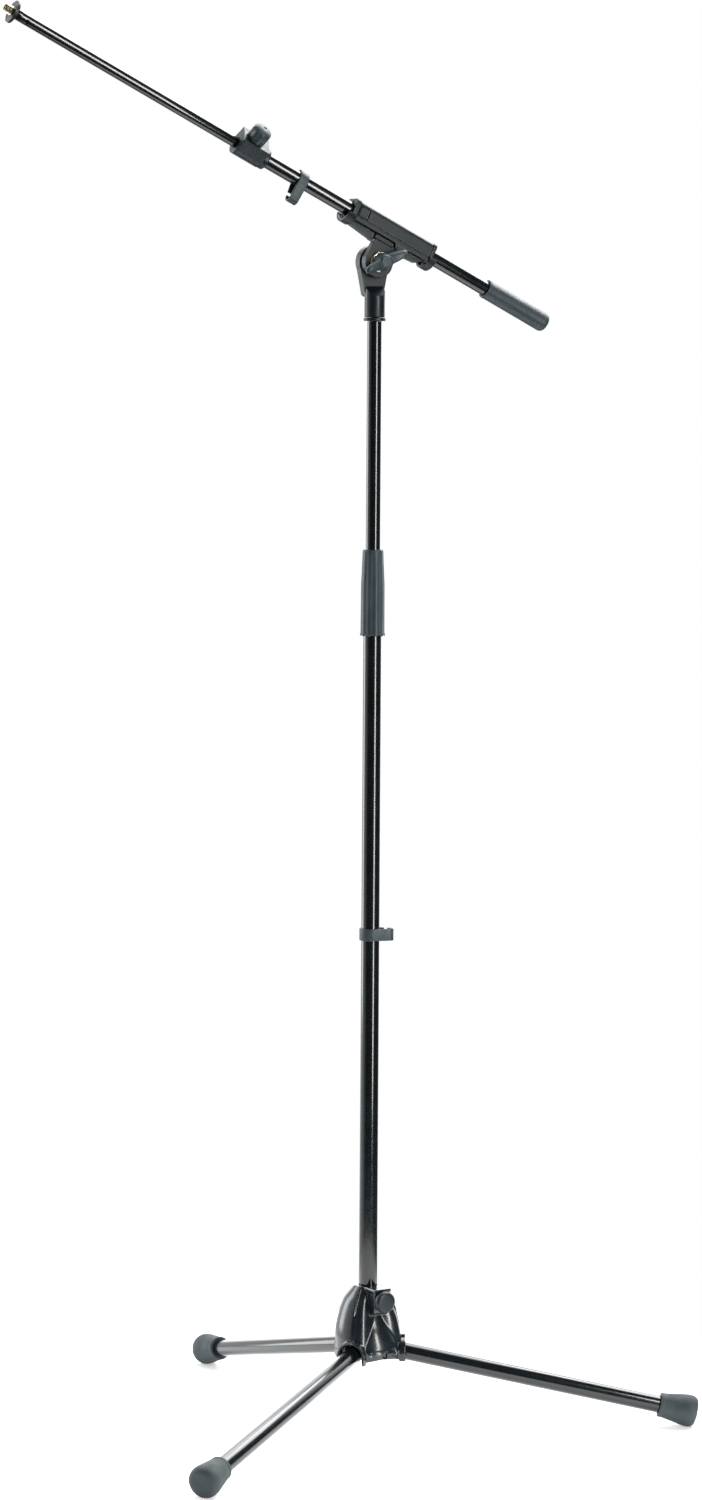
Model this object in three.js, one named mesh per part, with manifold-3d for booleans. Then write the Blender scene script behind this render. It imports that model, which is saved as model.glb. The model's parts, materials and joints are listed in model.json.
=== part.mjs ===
// A floor-standing boom microphone stand: three folding legs on a cast base, a two-stage
// column, a tilting boom head, and a two-stage boom with a threaded tip.
// Millimetres. +Z is up and the column stands on Z; +X is to the right and +Y is to the back.
import * as THREE from "three";
import { mergeVertices } from "three/addons/utils/BufferGeometryUtils.js";
import Module from "manifold-3d";

const wasm = await Module();
wasm.setup();

// ---------------------------------------------------------------- driving sizes
// Fits shared by every joint.
const FIT = 0.2; // radial gap of a piece in its hole
const SEAT = 0.3; // gap between two faces that meet
const ROUND = 28; // sides of a tube
const SMALL_ROUND = 16; // sides of a pin or a screw
const SKIN_TOLERANCE = 0.05; // how far a merged facet may stray

// Tubes, as radii. An outer tube is one step wider than the tube that slides in it.
const TUBE_WALL = 1;
const TUBE_STEP = 2;
const UPPER_TUBE_R = 8;
const LOWER_TUBE_R = UPPER_TUBE_R + TUBE_STEP;
const BOOM_ROD_R = 6;
const BOOM_TUBE_R = BOOM_ROD_R + TUBE_STEP;
const LEG_TUBE_R = 9.5;
const STUD_R = 4.75; // the thread that carries the head, and the one that takes a microphone clip
const CLAMP_SCREW_R = 3;

// Legs.
const LEG_TURNS = [2, 122, 242]; // degrees round the column
const LEG_PIN_REACH = 28.6;
const LEG_PIN_HEIGHT = 86;
const LEG_PIN_R = 3;
const LEG_LENGTH = 339.5; // from the pin to the end of the foot
const LEG_TUBE_END = LEG_LENGTH - 12;
const FOOT_LENGTH = 42;
const FOOT_R = 17.6;
const FOOT_MOUTH_R = LEG_TUBE_R + 3.5;
const FOOT_WIDEST = LEG_LENGTH - 8;
const FOOT_FLAT = 0.6; // depth worn flat where the foot meets the floor

// Base. A hood covers each leg's hinge, and a bell runs between the hoods.
const BASE_TOP = 157;
const BASE_BOTTOM = LEG_PIN_HEIGHT - 11;
const SKIRT_TOP = LEG_PIN_HEIGHT + 3;
const SKIRT_ARCH = 6; // rise of the lower edge between two legs
const HOOD_REACH = LEG_PIN_REACH + 9.4;
const HOOD_HALF = LEG_TUBE_R + 10;
const BELL_R = LEG_PIN_REACH + 7.6;
const SLEEVE_R = LOWER_TUBE_R + 4.2;
const MOUTH_HALF = LEG_TUBE_R + 4.8;
const MOUTH_COLLAR = 2.6;
const BASE_KNOB_TURN = 302;
const BASE_KNOB_HEIGHT = BASE_TOP - 13.5;
const BASE_KNOB_R = 12;
const BASE_BOSS_REACH = SLEEVE_R + 16.1;
const BASE_BOSS_HALF = 10;
const PAD_THICKNESS = 2.6;

// Column, as heights.
const COLUMN_BOTTOM = LEG_PIN_HEIGHT - 3;
const CLUTCH_TOP = 957.5;
const CLUTCH_BOTTOM = CLUTCH_TOP - 93;
const CLUTCH_FLUTES = 10;
const LOWER_TUBE_TOP = CLUTCH_TOP - 50;
const COLUMN_CLIP_HEIGHT = 541.5;
const PIVOT_HEIGHT = 1264.5;
const UPPER_TUBE_TOP = PIVOT_HEIGHT - 63;
const UPPER_TUBE_BOTTOM = UPPER_TUBE_TOP - 770;

// Head, measured from the tilt axis.
const HEAD_TURN = 28; // degrees, boom direction round the column
const BOOM_TILT = 26.2; // degrees above level
const SOCKET_R = UPPER_TUBE_R + 3;
const SOCKET_TOP = -37;
const CHEEK_R = 18.2;
const CHEEK_BACK = 11;
const EAR_R = 16.8;
const EAR_FRONT = 10.3;
const TILT_BOLT_R = 4;
const WING_SPAN = 54;
const WING_RISE = 22; // degrees above level, right-hand wing up

// Boom, measured along its axis from above the tilt axis; the tip is at -X.
const BOOM_RISE = 36; // boom axis above the tilt axis
const BARREL_TIP = -53;
const BARREL_TAIL = 55;
const LINER_R = BOOM_TUBE_R + 1.6;
const BARREL_HALF = LINER_R + 2.4;
const GRIP_END = 217;
const GRIP_MOUTH = GRIP_END - 84.5;
const GRIP_R = BOOM_TUBE_R + 2.6;
const BOOM_TUBE_TAIL = GRIP_END - 5;
const BLOCK_TIP = -203;
const BLOCK_TAIL = BLOCK_TIP + 33;
const BLOCK_COLLAR = BLOCK_TAIL + 6;
const BLOCK_R = BOOM_TUBE_R + 4;
const BLOCK_TOP = BLOCK_R + 3;
const BOOM_TUBE_TIP = BLOCK_TAIL - 10;
const TELE_KNOB_AT = BLOCK_TIP + 14.5;
const TELE_KNOB_TOP = BLOCK_TOP + 17.5;
const TELE_KNOB_R = 11;
const TELE_KNOB_TURN = 45; // degrees from up towards the front
const BOOM_CLIP_AT = -118;
const ROD_TIP = -483.5;
const ROD_TAIL = -112;
const TIP_FLANGE_R = 12.3;
const TIP_FLANGE = 3;
const TIP_STUD = 14; // how far the stud's end stands out of the rod's end

// ---------------------------------------------------------------- materials
const paint = (color, roughness, metalness) =>
  new THREE.MeshStandardMaterial({ color, roughness, metalness });
const GLOSS_PAINT = () => paint(0x121619, 0.22, 0.3);
const CAST_PAINT = () => paint(0x161b1e, 0.25, 0.3);
const GREY_PLASTIC = () => paint(0x3a454b, 0.5, 0);
const DARK_PLASTIC = () => paint(0x22292d, 0.5, 0);
const FOOT_RUBBER = () => paint(0x2b3134, 0.8, 0);
const NICKEL = () => paint(0xc9c2ae, 0.25, 1);
const STEEL = () => paint(0x8d9296, 0.35, 1);

// ---------------------------------------------------------------- solid tools
const radians = THREE.MathUtils.degToRad;

// A closed geometry as a solid whose faces look outwards.
function solid(geometry) {
  const bare = geometry.index ? geometry.toNonIndexed() : geometry.clone();
  bare.deleteAttribute("normal");
  bare.deleteAttribute("uv");
  const merged = mergeVertices(bare, 1e-4);
  const faces = new Uint32Array(merged.index.array);
  const build = () =>
    new wasm.Manifold(
      new wasm.Mesh({
        numProp: 3,
        vertProperties: merged.attributes.position.array,
        triVerts: faces,
      }),
    );
  const first = build();
  if (first.volume() > 0) {
    return first;
  }
  for (let i = 0; i < faces.length; i += 3) {
    [faces[i + 1], faces[i + 2]] = [faces[i + 2], faces[i + 1]];
  }
  return build();
}

// A profile of [radius, height] points turned round Z. One that leaves the axis is a ring.
function turned(profile, sides = ROUND) {
  const onAxis = profile[0][0] === 0;
  const points = profile.map(([r, z]) => new THREE.Vector2(r, z));
  if (!onAxis) {
    points.push(points[0].clone());
  }
  return solid(new THREE.LatheGeometry(points, sides).rotateX(Math.PI / 2));
}

// A round bar along Z, or a tube when it has a bore.
function bar(r, from, to, bore = 0, sides = ROUND) {
  if (bore === 0) {
    return turned([[0, from], [r, from], [r, to], [0, to]], sides);
  }
  return turned([[bore, from], [r, from], [r, to], [bore, to]], sides);
}

function box(x, y, z) {
  const size = [x, y, z].map(([a, b]) => b - a);
  const middle = [x, y, z].map(([a, b]) => (a + b) / 2);
  return solid(new THREE.BoxGeometry(...size)).translate(middle);
}

// A flat outline pushed along Z.
function pushed(outline, from, to, sides = 10) {
  const settings = { depth: to - from, bevelEnabled: false, curveSegments: sides };
  return solid(new THREE.ExtrudeGeometry(outline, settings)).translate([0, 0, from]);
}

function polygon(points) {
  return new THREE.Shape(points.map(([x, y]) => new THREE.Vector2(x, y)));
}

// The outline round two circles on the X axis, the first at 0 and the second at reach.
function teardrop(firstR, reach, secondR) {
  const lean = Math.acos((firstR - secondR) / reach);
  const outline = new THREE.Shape();
  outline.absarc(0, 0, firstR, lean, 2 * Math.PI - lean, false);
  outline.absarc(reach, 0, secondR, -lean, lean, false);
  return outline;
}

// A cylinder's skin whose rings are reshaped by skin(turn, ring) into [radius, height].
function shaped(around, rings, skin) {
  const geometry = new THREE.CylinderGeometry(1, 1, 1, around, rings);
  const spots = geometry.rotateX(Math.PI / 2).attributes.position;
  for (let i = 0; i < spots.count; i += 1) {
    const reach = Math.hypot(spots.getX(i), spots.getY(i));
    const turn = Math.atan2(spots.getY(i), spots.getX(i));
    const ring = Math.round((spots.getZ(i) + 0.5) * rings);
    const [radius, height] = skin(turn, ring);
    const wide = reach * radius;
    spots.setXYZ(i, wide * Math.cos(turn), wide * Math.sin(turn), height);
  }
  return solid(geometry);
}

// The largest of a body's pieces. Merging facets can leave a crumb with no volume beside it.
function withoutCrumbs(body) {
  const pieces = body.decompose().sort((a, b) => b.volume() - a.volume());
  return pieces[0];
}

const alongX = (body) => body.rotate([0, 90, 0]);
const alongY = (body) => body.rotate([90, 0, 0]);

// ---------------------------------------------------------------- assembly tools
const stand = new THREE.Group();

function add(name, body, material, frame = stand) {
  const made = body.getMesh();
  const geometry = new THREE.BufferGeometry();
  geometry.setAttribute("position", new THREE.BufferAttribute(made.vertProperties, 3));
  geometry.setIndex(new THREE.BufferAttribute(made.triVerts, 1));
  geometry.computeVertexNormals();
  const mesh = new THREE.Mesh(geometry, material);
  mesh.name = name;
  frame.add(mesh);
}

function frameAt(parent, position, rotation) {
  const frame = new THREE.Group();
  frame.position.set(...position);
  frame.rotation.set(...rotation.map(radians));
  parent.add(frame);
  return frame;
}

// A split band round a tube with a loop beside it for the cable. It lies in the XY plane.
function cableClip(tubeR, reach, wide) {
  const wall = 1.8;
  const tipR = 5.6;
  const tipAt = reach - tipR;
  const outside = pushed(teardrop(tubeR + FIT + wall, tipAt, tipR), -wide / 2, wide / 2);
  const inside = pushed(teardrop(tubeR + FIT, tipAt, tipR - wall), -wide, wide);
  const slit = box([tipAt - 5, tipAt - 1], [0, tubeR * 2], [-wide, wide]);
  return outside.subtract(inside).subtract(slit);
}

// A screw shaft that ends in a pressure pad's seat.
const clampScrew = (from, to) => bar(CLAMP_SCREW_R, from, to, 0, SMALL_ROUND);

// ---------------------------------------------------------------- base
// Rings of the casting from the floor side up: the rise from the skirt's top as a share of the
// way to the top, then the hood's reach, the hood's half width and the bell's radius, each as
// a share of its largest value.
const BASE_RINGS = [
  [0, 1, 1, 1],
  [0, 0.995, 0.99, 1],
  [0.012, 0.99, 0.985, 0.97],
  [0.13, 0.97, 0.945, 0.91],
  [0.25, 0.935, 0.89, 0.81],
  [0.38, 0.885, 0.83, 0.68],
  [0.53, 0.815, 0.75, 0.55],
  [0.67, 0.705, 0.645, 0.47],
  [0.82, 0.565, 0.535, 0.42],
  [1, 0.355, 0.39, 0.39],
];
const HOOD_POWER = 3;
const BORE_R = LOWER_TUBE_R + FIT;

// Angle in radians from the nearest leg.
function awayFromLeg(turn) {
  const gaps = LEG_TURNS.map((leg) => {
    const gap = turn - radians(leg);
    return Math.abs(Math.atan2(Math.sin(gap), Math.cos(gap)));
  });
  return Math.min(...gaps);
}

function baseSkin(turn, ring) {
  const [rise, reach, half, bell] = BASE_RINGS[ring];
  const away = awayFromLeg(turn);
  const along = Math.abs(Math.cos(away)) / (reach * HOOD_REACH);
  const across = Math.abs(Math.sin(away)) / (half * HOOD_HALF);
  const hood = (along ** HOOD_POWER + across ** HOOD_POWER) ** (-1 / HOOD_POWER);
  const lowerEdge = BASE_BOTTOM + (SKIRT_ARCH * (1 - Math.cos(3 * away))) / 2;
  const height = ring === 0 ? lowerEdge : SKIRT_TOP + rise * (BASE_TOP - SKIRT_TOP);
  return [Math.max(hood, bell * BELL_R, SLEEVE_R), height];
}

// An arch seen along the leg: straight sides under a half circle.
function arch(half, bottom, centre) {
  const outline = new THREE.Shape();
  outline.moveTo(-half, bottom);
  outline.lineTo(half, bottom);
  outline.lineTo(half, centre);
  outline.absarc(0, centre, half, 0, Math.PI, false);
  outline.lineTo(-half, bottom);
  return outline;
}

// The arch pushed outwards along the leg direction.
const archAlongLeg = (half, bottom, centre, from, to) =>
  pushed(arch(half, bottom, centre), from, to, 7).rotate([90, 0, 90]);

// The room inside the bell, kept clear of the walls beside each leg.
function baseHollow(wallHalf, below) {
  const outer = BELL_R - 3.2;
  const inner = SLEEVE_R + 2.8;
  const ceiling = SKIRT_TOP + 21;
  const profile = [
    [inner, below], [outer, below], [outer, SKIRT_TOP - 1], [outer - 4, SKIRT_TOP + 8],
    [inner + 1.5, ceiling], [inner, ceiling],
  ];
  const keep = box([0, 2 * BELL_R], [-wallHalf, wallHalf], [below - 1, BASE_TOP]);
  return LEG_TURNS.reduce(
    (hollow, turn) => hollow.subtract(keep.rotate([0, 0, turn])),
    turned(profile, 24),
  );
}

// The block that the column clamp's screw goes through, rounded under its front.
function baseBoss() {
  const inside = LOWER_TUBE_R - 1;
  const bottom = BASE_KNOB_HEIGHT - 16;
  const side = polygon([
    [inside, BASE_TOP], [BASE_BOSS_REACH, BASE_TOP], [BASE_BOSS_REACH, bottom + 7],
    [BASE_BOSS_REACH - 1.3, bottom + 3.5], [BASE_BOSS_REACH - 4.8, bottom + 1.1],
    [BASE_BOSS_REACH - 10.3, bottom], [inside, bottom],
  ]);
  return alongY(pushed(side, -BASE_BOSS_HALF, BASE_BOSS_HALF)).rotate([0, 0, BASE_KNOB_TURN]);
}

function baseCasting() {
  const channelHalf = LEG_TUBE_R + 0.7;
  const channelStart = LEG_PIN_REACH - channelHalf;
  const mouthCentre = LEG_PIN_HEIGHT - 3;
  const mouthStart = HOOD_REACH - 4;
  const collarReach = HOOD_REACH + 3;
  const collarHalf = MOUTH_HALF + MOUTH_COLLAR;
  const below = BASE_BOTTOM - 6;
  const outside = 2 * HOOD_REACH;

  let body = shaped(48, BASE_RINGS.length - 1, baseSkin)
    .subtract(baseHollow(channelHalf + 4.3, below))
    .add(baseBoss());
  LEG_TURNS.forEach((turn) => {
    const collar = archAlongLeg(collarHalf, BASE_BOTTOM, mouthCentre, mouthStart, collarReach);
    const tabTop = mouthCentre + collarHalf + 3;
    const tab = box([collarReach - 3.2, collarReach], [-4.5, 4.5], [mouthCentre, tabTop]);
    body = body.add(collar.add(tab).rotate([0, 0, turn]));
  });
  LEG_TURNS.forEach((turn) => {
    const channel = archAlongLeg(channelHalf, below, LEG_PIN_HEIGHT, channelStart, outside);
    const mouth = archAlongLeg(MOUTH_HALF, below, mouthCentre, mouthStart, outside);
    const hole = alongY(bar(LEG_PIN_R + FIT, -BELL_R, BELL_R, 0, SMALL_ROUND));
    const pinHole = hole.translate([LEG_PIN_REACH, 0, LEG_PIN_HEIGHT]);
    body = body.subtract(channel.add(mouth).add(pinHole).rotate([0, 0, turn]));
  });
  const screwHole = alongX(bar(CLAMP_SCREW_R + 2 * FIT, 0, outside, 0, SMALL_ROUND));
  const pocket = box([BELL_R - 2, outside], [-2.4, 2.4], [SKIRT_TOP - 7, SKIRT_TOP + 0.6]);
  const finished = body
    .subtract(screwHole.translate([0, 0, BASE_KNOB_HEIGHT]).rotate([0, 0, BASE_KNOB_TURN]))
    .subtract(pocket.rotate([0, 0, BASE_KNOB_TURN]))
    .subtract(bar(BORE_R, below, BASE_TOP + 1));
  return withoutCrumbs(finished.simplify(SKIN_TOLERANCE));
}

// ---------------------------------------------------------------- legs
function legPin() {
  const half = Math.sqrt(BELL_R ** 2 - LEG_PIN_REACH ** 2) - 0.4;
  return alongY(bar(LEG_PIN_R, -half, half, 0, SMALL_ROUND));
}

function legTube() {
  return alongX(bar(LEG_TUBE_R, LEG_TUBE_R + 1.5, LEG_TUBE_END, LEG_TUBE_R - TUBE_WALL));
}

// The hinge end of a leg: a spigot in the tube and a ball round the pin, which turns in the
// casting's channel without rising.
function legBush() {
  const shoulder = LEG_TUBE_R + 1.5 - SEAT;
  const eyeSides = 20;
  const spigot = alongX(bar(LEG_TUBE_R - TUBE_WALL - FIT, shoulder - 1, 34));
  const neck = alongX(bar(LEG_TUBE_R, 0, shoulder, 0, eyeSides));
  const ball = solid(new THREE.SphereGeometry(LEG_TUBE_R, eyeSides, eyeSides / 2));
  const hole = alongY(bar(LEG_PIN_R + FIT, -2 * LEG_TUBE_R, 2 * LEG_TUBE_R, 0, SMALL_ROUND));
  return spigot.add(neck).add(ball).subtract(hole);
}

// The slope at which the foot's widest ring just reaches the floor.
function legSlope() {
  const drop = (LEG_PIN_HEIGHT + FOOT_FLAT) / Math.hypot(FOOT_WIDEST, FOOT_R);
  return Math.asin(drop) - Math.atan2(FOOT_R, FOOT_WIDEST);
}
const LEG_SLOPE = THREE.MathUtils.radToDeg(legSlope());

function legFoot() {
  const mouth = LEG_LENGTH - FOOT_LENGTH;
  const bore = LEG_TUBE_R + FIT;
  const profile = [
    [0, LEG_TUBE_END + SEAT], [bore, LEG_TUBE_END + SEAT], [bore, mouth],
    [FOOT_MOUTH_R - 0.6, mouth], [FOOT_MOUTH_R, mouth + 0.8], [FOOT_MOUTH_R + 1.2, mouth + 9],
    [FOOT_MOUTH_R + 2.9, mouth + 19], [FOOT_R - 0.4, FOOT_WIDEST - 5], [FOOT_R, FOOT_WIDEST],
    [FOOT_R - 0.8, LEG_LENGTH - 4], [FOOT_R - 3, LEG_LENGTH - 1.2], [FOOT_R - 6.5, LEG_LENGTH],
    [0, LEG_LENGTH],
  ];
  const ground = box([0, 2 * LEG_LENGTH], [-2 * FOOT_R, 2 * FOOT_R], [-2 * FOOT_R, 0]);
  const floor = ground.translate([0, 0, -LEG_PIN_HEIGHT]).rotate([0, -LEG_SLOPE, 0]);
  return alongX(turned(profile, 20)).subtract(floor);
}

// ---------------------------------------------------------------- column
function lowerTubePlug() {
  const rim = COLUMN_BOTTOM + 3;
  return bar(LOWER_TUBE_R - 0.1, COLUMN_BOTTOM, rim).add(
    bar(LOWER_TUBE_R - TUBE_WALL - FIT, rim - 1, COLUMN_BOTTOM + 20),
  );
}

const CLUTCH_BODY_R = LOWER_TUBE_R + 0.9;
const CLUTCH_BODY_BOTTOM = LOWER_TUBE_TOP - 23;
const CLUTCH_BODY_TOP = LOWER_TUBE_TOP + 19;
const COLLET_TOP = CLUTCH_TOP - 8;
const COLLET_R = UPPER_TUBE_R + 1.4;

// The sleeve seat on top of the lower tube: a cap over its end with the thread outside.
function clutchBody() {
  return turned([
    [LOWER_TUBE_R + FIT, CLUTCH_BODY_BOTTOM], [CLUTCH_BODY_R, CLUTCH_BODY_BOTTOM],
    [CLUTCH_BODY_R, CLUTCH_BODY_TOP - 4], [CLUTCH_BODY_R - 0.7, CLUTCH_BODY_TOP],
    [UPPER_TUBE_R + FIT, CLUTCH_BODY_TOP], [UPPER_TUBE_R + FIT, LOWER_TUBE_TOP + SEAT],
    [LOWER_TUBE_R + FIT, LOWER_TUBE_TOP + SEAT],
  ]);
}

// The split ring that the sleeve squeezes on to the upper tube.
function clutchCollet() {
  const from = CLUTCH_BODY_TOP + SEAT;
  const ring = turned([
    [UPPER_TUBE_R + FIT, from], [COLLET_R, from], [COLLET_R, COLLET_TOP - 6],
    [COLLET_R - 0.5, COLLET_TOP], [UPPER_TUBE_R + FIT, COLLET_TOP],
  ]);
  return ring.subtract(box([0, 2 * COLLET_R], [-0.8, 0.8], [from - 1, COLLET_TOP + 1]));
}

function clutchSleeve() {
  const skirtR = CLUTCH_BODY_R + 2;
  const topR = UPPER_TUBE_R + 3;
  const rings = [
    [CLUTCH_BOTTOM, skirtR], [CLUTCH_BOTTOM + 1.6, skirtR + 0.45], [CLUTCH_BOTTOM + 3.4, skirtR + 0.2],
    [CLUTCH_BOTTOM + 30, skirtR - 0.1], [CLUTCH_TOP - 35, skirtR - 0.3], [CLUTCH_TOP - 26, skirtR - 0.8],
    [CLUTCH_TOP - 2, topR + 0.1], [CLUTCH_TOP, topR - 0.3],
  ];
  const depth = 0.55;
  const skin = (turn, ring) => {
    const [height, r] = rings[ring];
    const dip = (1 - Math.cos(CLUTCH_FLUTES * turn)) / 2;
    const fade = ring > rings.length - 3 ? 0.4 : 1;
    const scallop = ring === 0 ? 1.1 * dip : 0;
    return [r - depth * fade * dip, height + scallop];
  };
  const outside = shaped(4 * CLUTCH_FLUTES, rings.length - 1, skin);
  const wide = CLUTCH_BODY_R + FIT;
  const narrow = COLLET_R + FIT;
  const inside = turned([
    [0, CLUTCH_BOTTOM - 2], [wide, CLUTCH_BOTTOM - 2], [wide, CLUTCH_BODY_TOP - 2],
    [narrow, CLUTCH_BODY_TOP + 2], [narrow, COLLET_TOP + 2], [UPPER_TUBE_R + FIT, COLLET_TOP + 4],
    [UPPER_TUBE_R + FIT, CLUTCH_TOP + 2], [0, CLUTCH_TOP + 2],
  ]);
  return outside.subtract(inside);
}

// The guide at the inner end of a sliding tube: a flange that rides in the outer tube and a
// spigot that the sliding tube turns on.
function guideBush(tubeR, boreR, tubeEnd) {
  const flange = bar(boreR - FIT, tubeEnd - 8, tubeEnd - SEAT);
  const spigot = bar(tubeR - TUBE_WALL - FIT, tubeEnd - 2, tubeEnd + 22);
  return flange.add(spigot);
}

// The insert in the top of the upper tube, with the stud that the head screws on to.
function upperTubeStud() {
  const plug = bar(UPPER_TUBE_R - TUBE_WALL - FIT, UPPER_TUBE_TOP - 24, UPPER_TUBE_TOP);
  return plug.add(bar(STUD_R, UPPER_TUBE_TOP - 1, UPPER_TUBE_TOP + 20, 0, SMALL_ROUND));
}

const RING_HEIGHT = 3.5;
function socketRing() {
  const from = UPPER_TUBE_TOP + SEAT;
  const wide = SOCKET_R + 0.9;
  const edge = 0.7;
  return turned([
    [STUD_R + FIT, from], [wide - edge, from], [wide, from + edge],
    [wide, from + RING_HEIGHT - edge], [wide - edge, from + RING_HEIGHT],
    [STUD_R + FIT, from + RING_HEIGHT],
  ]);
}

// ---------------------------------------------------------------- tilt head
// The head frame has its origin on the tilt axis, which runs along Y; the front is at -Y.
const DISC_HALF = 0.4;
const CHEEK_FRONT = DISC_HALF + SEAT;

const BOLT_HEAD_R = 7.5;
const BOLT_HEAD = 4.6;

// The cheek: a disc on the tilt axis that narrows down to the socket.
function cheekPlate() {
  const lean = 0.42;
  const plate = new THREE.Shape();
  plate.absarc(0, 0, CHEEK_R, -lean, Math.PI + lean, false);
  plate.lineTo(-SOCKET_R, SOCKET_TOP + 2);
  plate.lineTo(3 - SOCKET_R, SOCKET_TOP);
  plate.lineTo(SOCKET_R - 3, SOCKET_TOP);
  plate.lineTo(SOCKET_R, SOCKET_TOP + 2);
  plate.closePath();
  return alongY(pushed(plate, -CHEEK_BACK, -CHEEK_FRONT, 16));
}

function headSocket() {
  const bottom = UPPER_TUBE_TOP + RING_HEIGHT + 2 * SEAT - PIVOT_HEIGHT;
  const shoulder = SOCKET_TOP + 11;
  const outside = 2 * SOCKET_R;
  const barrel = turned([
    [0, bottom], [SOCKET_R - 0.5, bottom], [SOCKET_R, bottom + 0.6], [SOCKET_R, shoulder],
    [0, shoulder],
  ]);
  const ledge = polygon([
    [-outside, SOCKET_TOP - 1], [-SOCKET_R, SOCKET_TOP + 1], [CHEEK_FRONT, shoulder],
    [CHEEK_FRONT, shoulder + 1], [-outside, shoulder + 1],
  ]);
  const cut = pushed(ledge, -outside, outside).rotate([90, 0, 90]);
  const boreTop = UPPER_TUBE_TOP + 21 - PIVOT_HEIGHT;
  const bore = bar(STUD_R + FIT, bottom - 1, boreTop, 0, SMALL_ROUND);
  const boltHole = alongY(bar(TILT_BOLT_R + FIT, -outside, outside, 0, SMALL_ROUND));
  const pocketFrom = -CHEEK_BACK - 1;
  const hexPocket = alongY(bar(BOLT_HEAD_R + SEAT, pocketFrom, BOLT_HEAD - CHEEK_BACK + 0.4, 0, 6));
  return barrel
    .subtract(cut)
    .add(cheekPlate())
    .subtract(bore)
    .subtract(boltHole)
    .subtract(hexPocket);
}

const frictionDisc = () =>
  alongY(bar(EAR_R - 0.6, -DISC_HALF, DISC_HALF, TILT_BOLT_R + FIT));

const WASHER_BACK = EAR_FRONT + SEAT;
const WASHER_FRONT = WASHER_BACK + 2.4;
const HUB_FRONT = 28;

function tiltBolt() {
  const shaft = alongY(bar(TILT_BOLT_R, -CHEEK_BACK + 2, HUB_FRONT - 3, 0, SMALL_ROUND));
  const head = alongY(bar(BOLT_HEAD_R, -CHEEK_BACK, BOLT_HEAD - CHEEK_BACK, 0, 6));
  return shaft.add(head);
}

// A dished washer, open towards the front ear.
function tiltWasher() {
  const inner = TILT_BOLT_R + FIT;
  return turned([
    [inner, WASHER_BACK + 1], [8.5, WASHER_BACK + 1], [9.6, WASHER_BACK], [11, WASHER_BACK],
    [11, WASHER_BACK + 0.9], [9.8, WASHER_FRONT - 0.2], [8.6, WASHER_FRONT],
    [inner, WASHER_FRONT],
  ]).rotate([90, 0, 0]);
}

const HUB_BACK = WASHER_FRONT + SEAT;
const INSERT_R = 5.8;

function wingInsert() {
  const nut = bar(INSERT_R, HUB_BACK, HUB_FRONT - 5, 0, 6);
  return alongY(nut.subtract(bar(TILT_BOLT_R + FIT, 0, HUB_FRONT, 0, SMALL_ROUND)));
}

// One curved blade, built from the hub out along +X and mirrored for the other side.
function wingBlade() {
  const outline = new THREE.Shape();
  outline.moveTo(0, HUB_BACK + 1.5);
  outline.lineTo(10, HUB_BACK + 3);
  outline.quadraticCurveTo(20, HUB_BACK + 5, WING_SPAN / 2 - 2, HUB_BACK + 9);
  outline.quadraticCurveTo(WING_SPAN / 2, HUB_BACK + 11, WING_SPAN / 2 - 1, HUB_BACK + 14);
  outline.quadraticCurveTo(WING_SPAN / 2 - 4, HUB_BACK + 17.5, 17, HUB_BACK + 16);
  outline.quadraticCurveTo(9, HUB_BACK + 14.5, 0, HUB_BACK + 12);
  outline.closePath();
  return pushed(outline, -2.6, 2.6, 6).rotate([180, 0, 0]);
}

function wingNut() {
  const hub = alongY(
    turned([
      [0, HUB_BACK], [8.6, HUB_BACK], [8.8, HUB_BACK + 1], [7.4, HUB_FRONT - 3],
      [6, HUB_FRONT], [0, HUB_FRONT],
    ], 24),
  );
  const blade = wingBlade();
  const other = blade.mirror([1, 0, 0]);
  const pocket = alongY(bar(INSERT_R + FIT, HUB_BACK - 1, HUB_FRONT - 5 + SEAT, 0, 6));
  const bolt = alongY(bar(TILT_BOLT_R + FIT, 0, HUB_FRONT - 2, 0, SMALL_ROUND));
  return hub.add(blade).add(other).subtract(pocket).subtract(bolt);
}

// ---------------------------------------------------------------- boom head
// The boom frame shares the head's origin and has the boom axis level, BOOM_RISE above it.
const RAIL_TOP = BOOM_RISE - 5;
const RAIL_BOTTOM = RAIL_TOP - 6.5;
const RAIL_HALF = BARREL_HALF + 1;

const CUP_LENGTH = 4.5; // how far the half cups reach past the barrel

function carrierEar() {
  const foot = 14;
  const slack = 0.1;
  const outline = new THREE.Shape();
  outline.absarc(0, 0, EAR_R, Math.PI + slack, -slack, false);
  outline.lineTo(foot, RAIL_BOTTOM + 1);
  outline.lineTo(-foot, RAIL_BOTTOM + 1);
  outline.closePath();
  return alongY(pushed(outline, CHEEK_FRONT, EAR_FRONT, 16));
}

// The web over the cheek, and the keel that tapers out under the rail both ways.
function carrierKeel() {
  const webHalf = 14;
  const webBottom = CHEEK_R + 0.8;
  const web = box([-webHalf, webHalf], [-9, 9], [webBottom, RAIL_BOTTOM + 1]);
  const side = polygon([
    [BARREL_TIP + 6, RAIL_BOTTOM + 1], [-webHalf - 2, webBottom], [webHalf + 2, webBottom],
    [BARREL_TAIL - 6, RAIL_BOTTOM + 1],
  ]);
  return web.add(alongY(pushed(side, -6, 6)));
}

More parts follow.
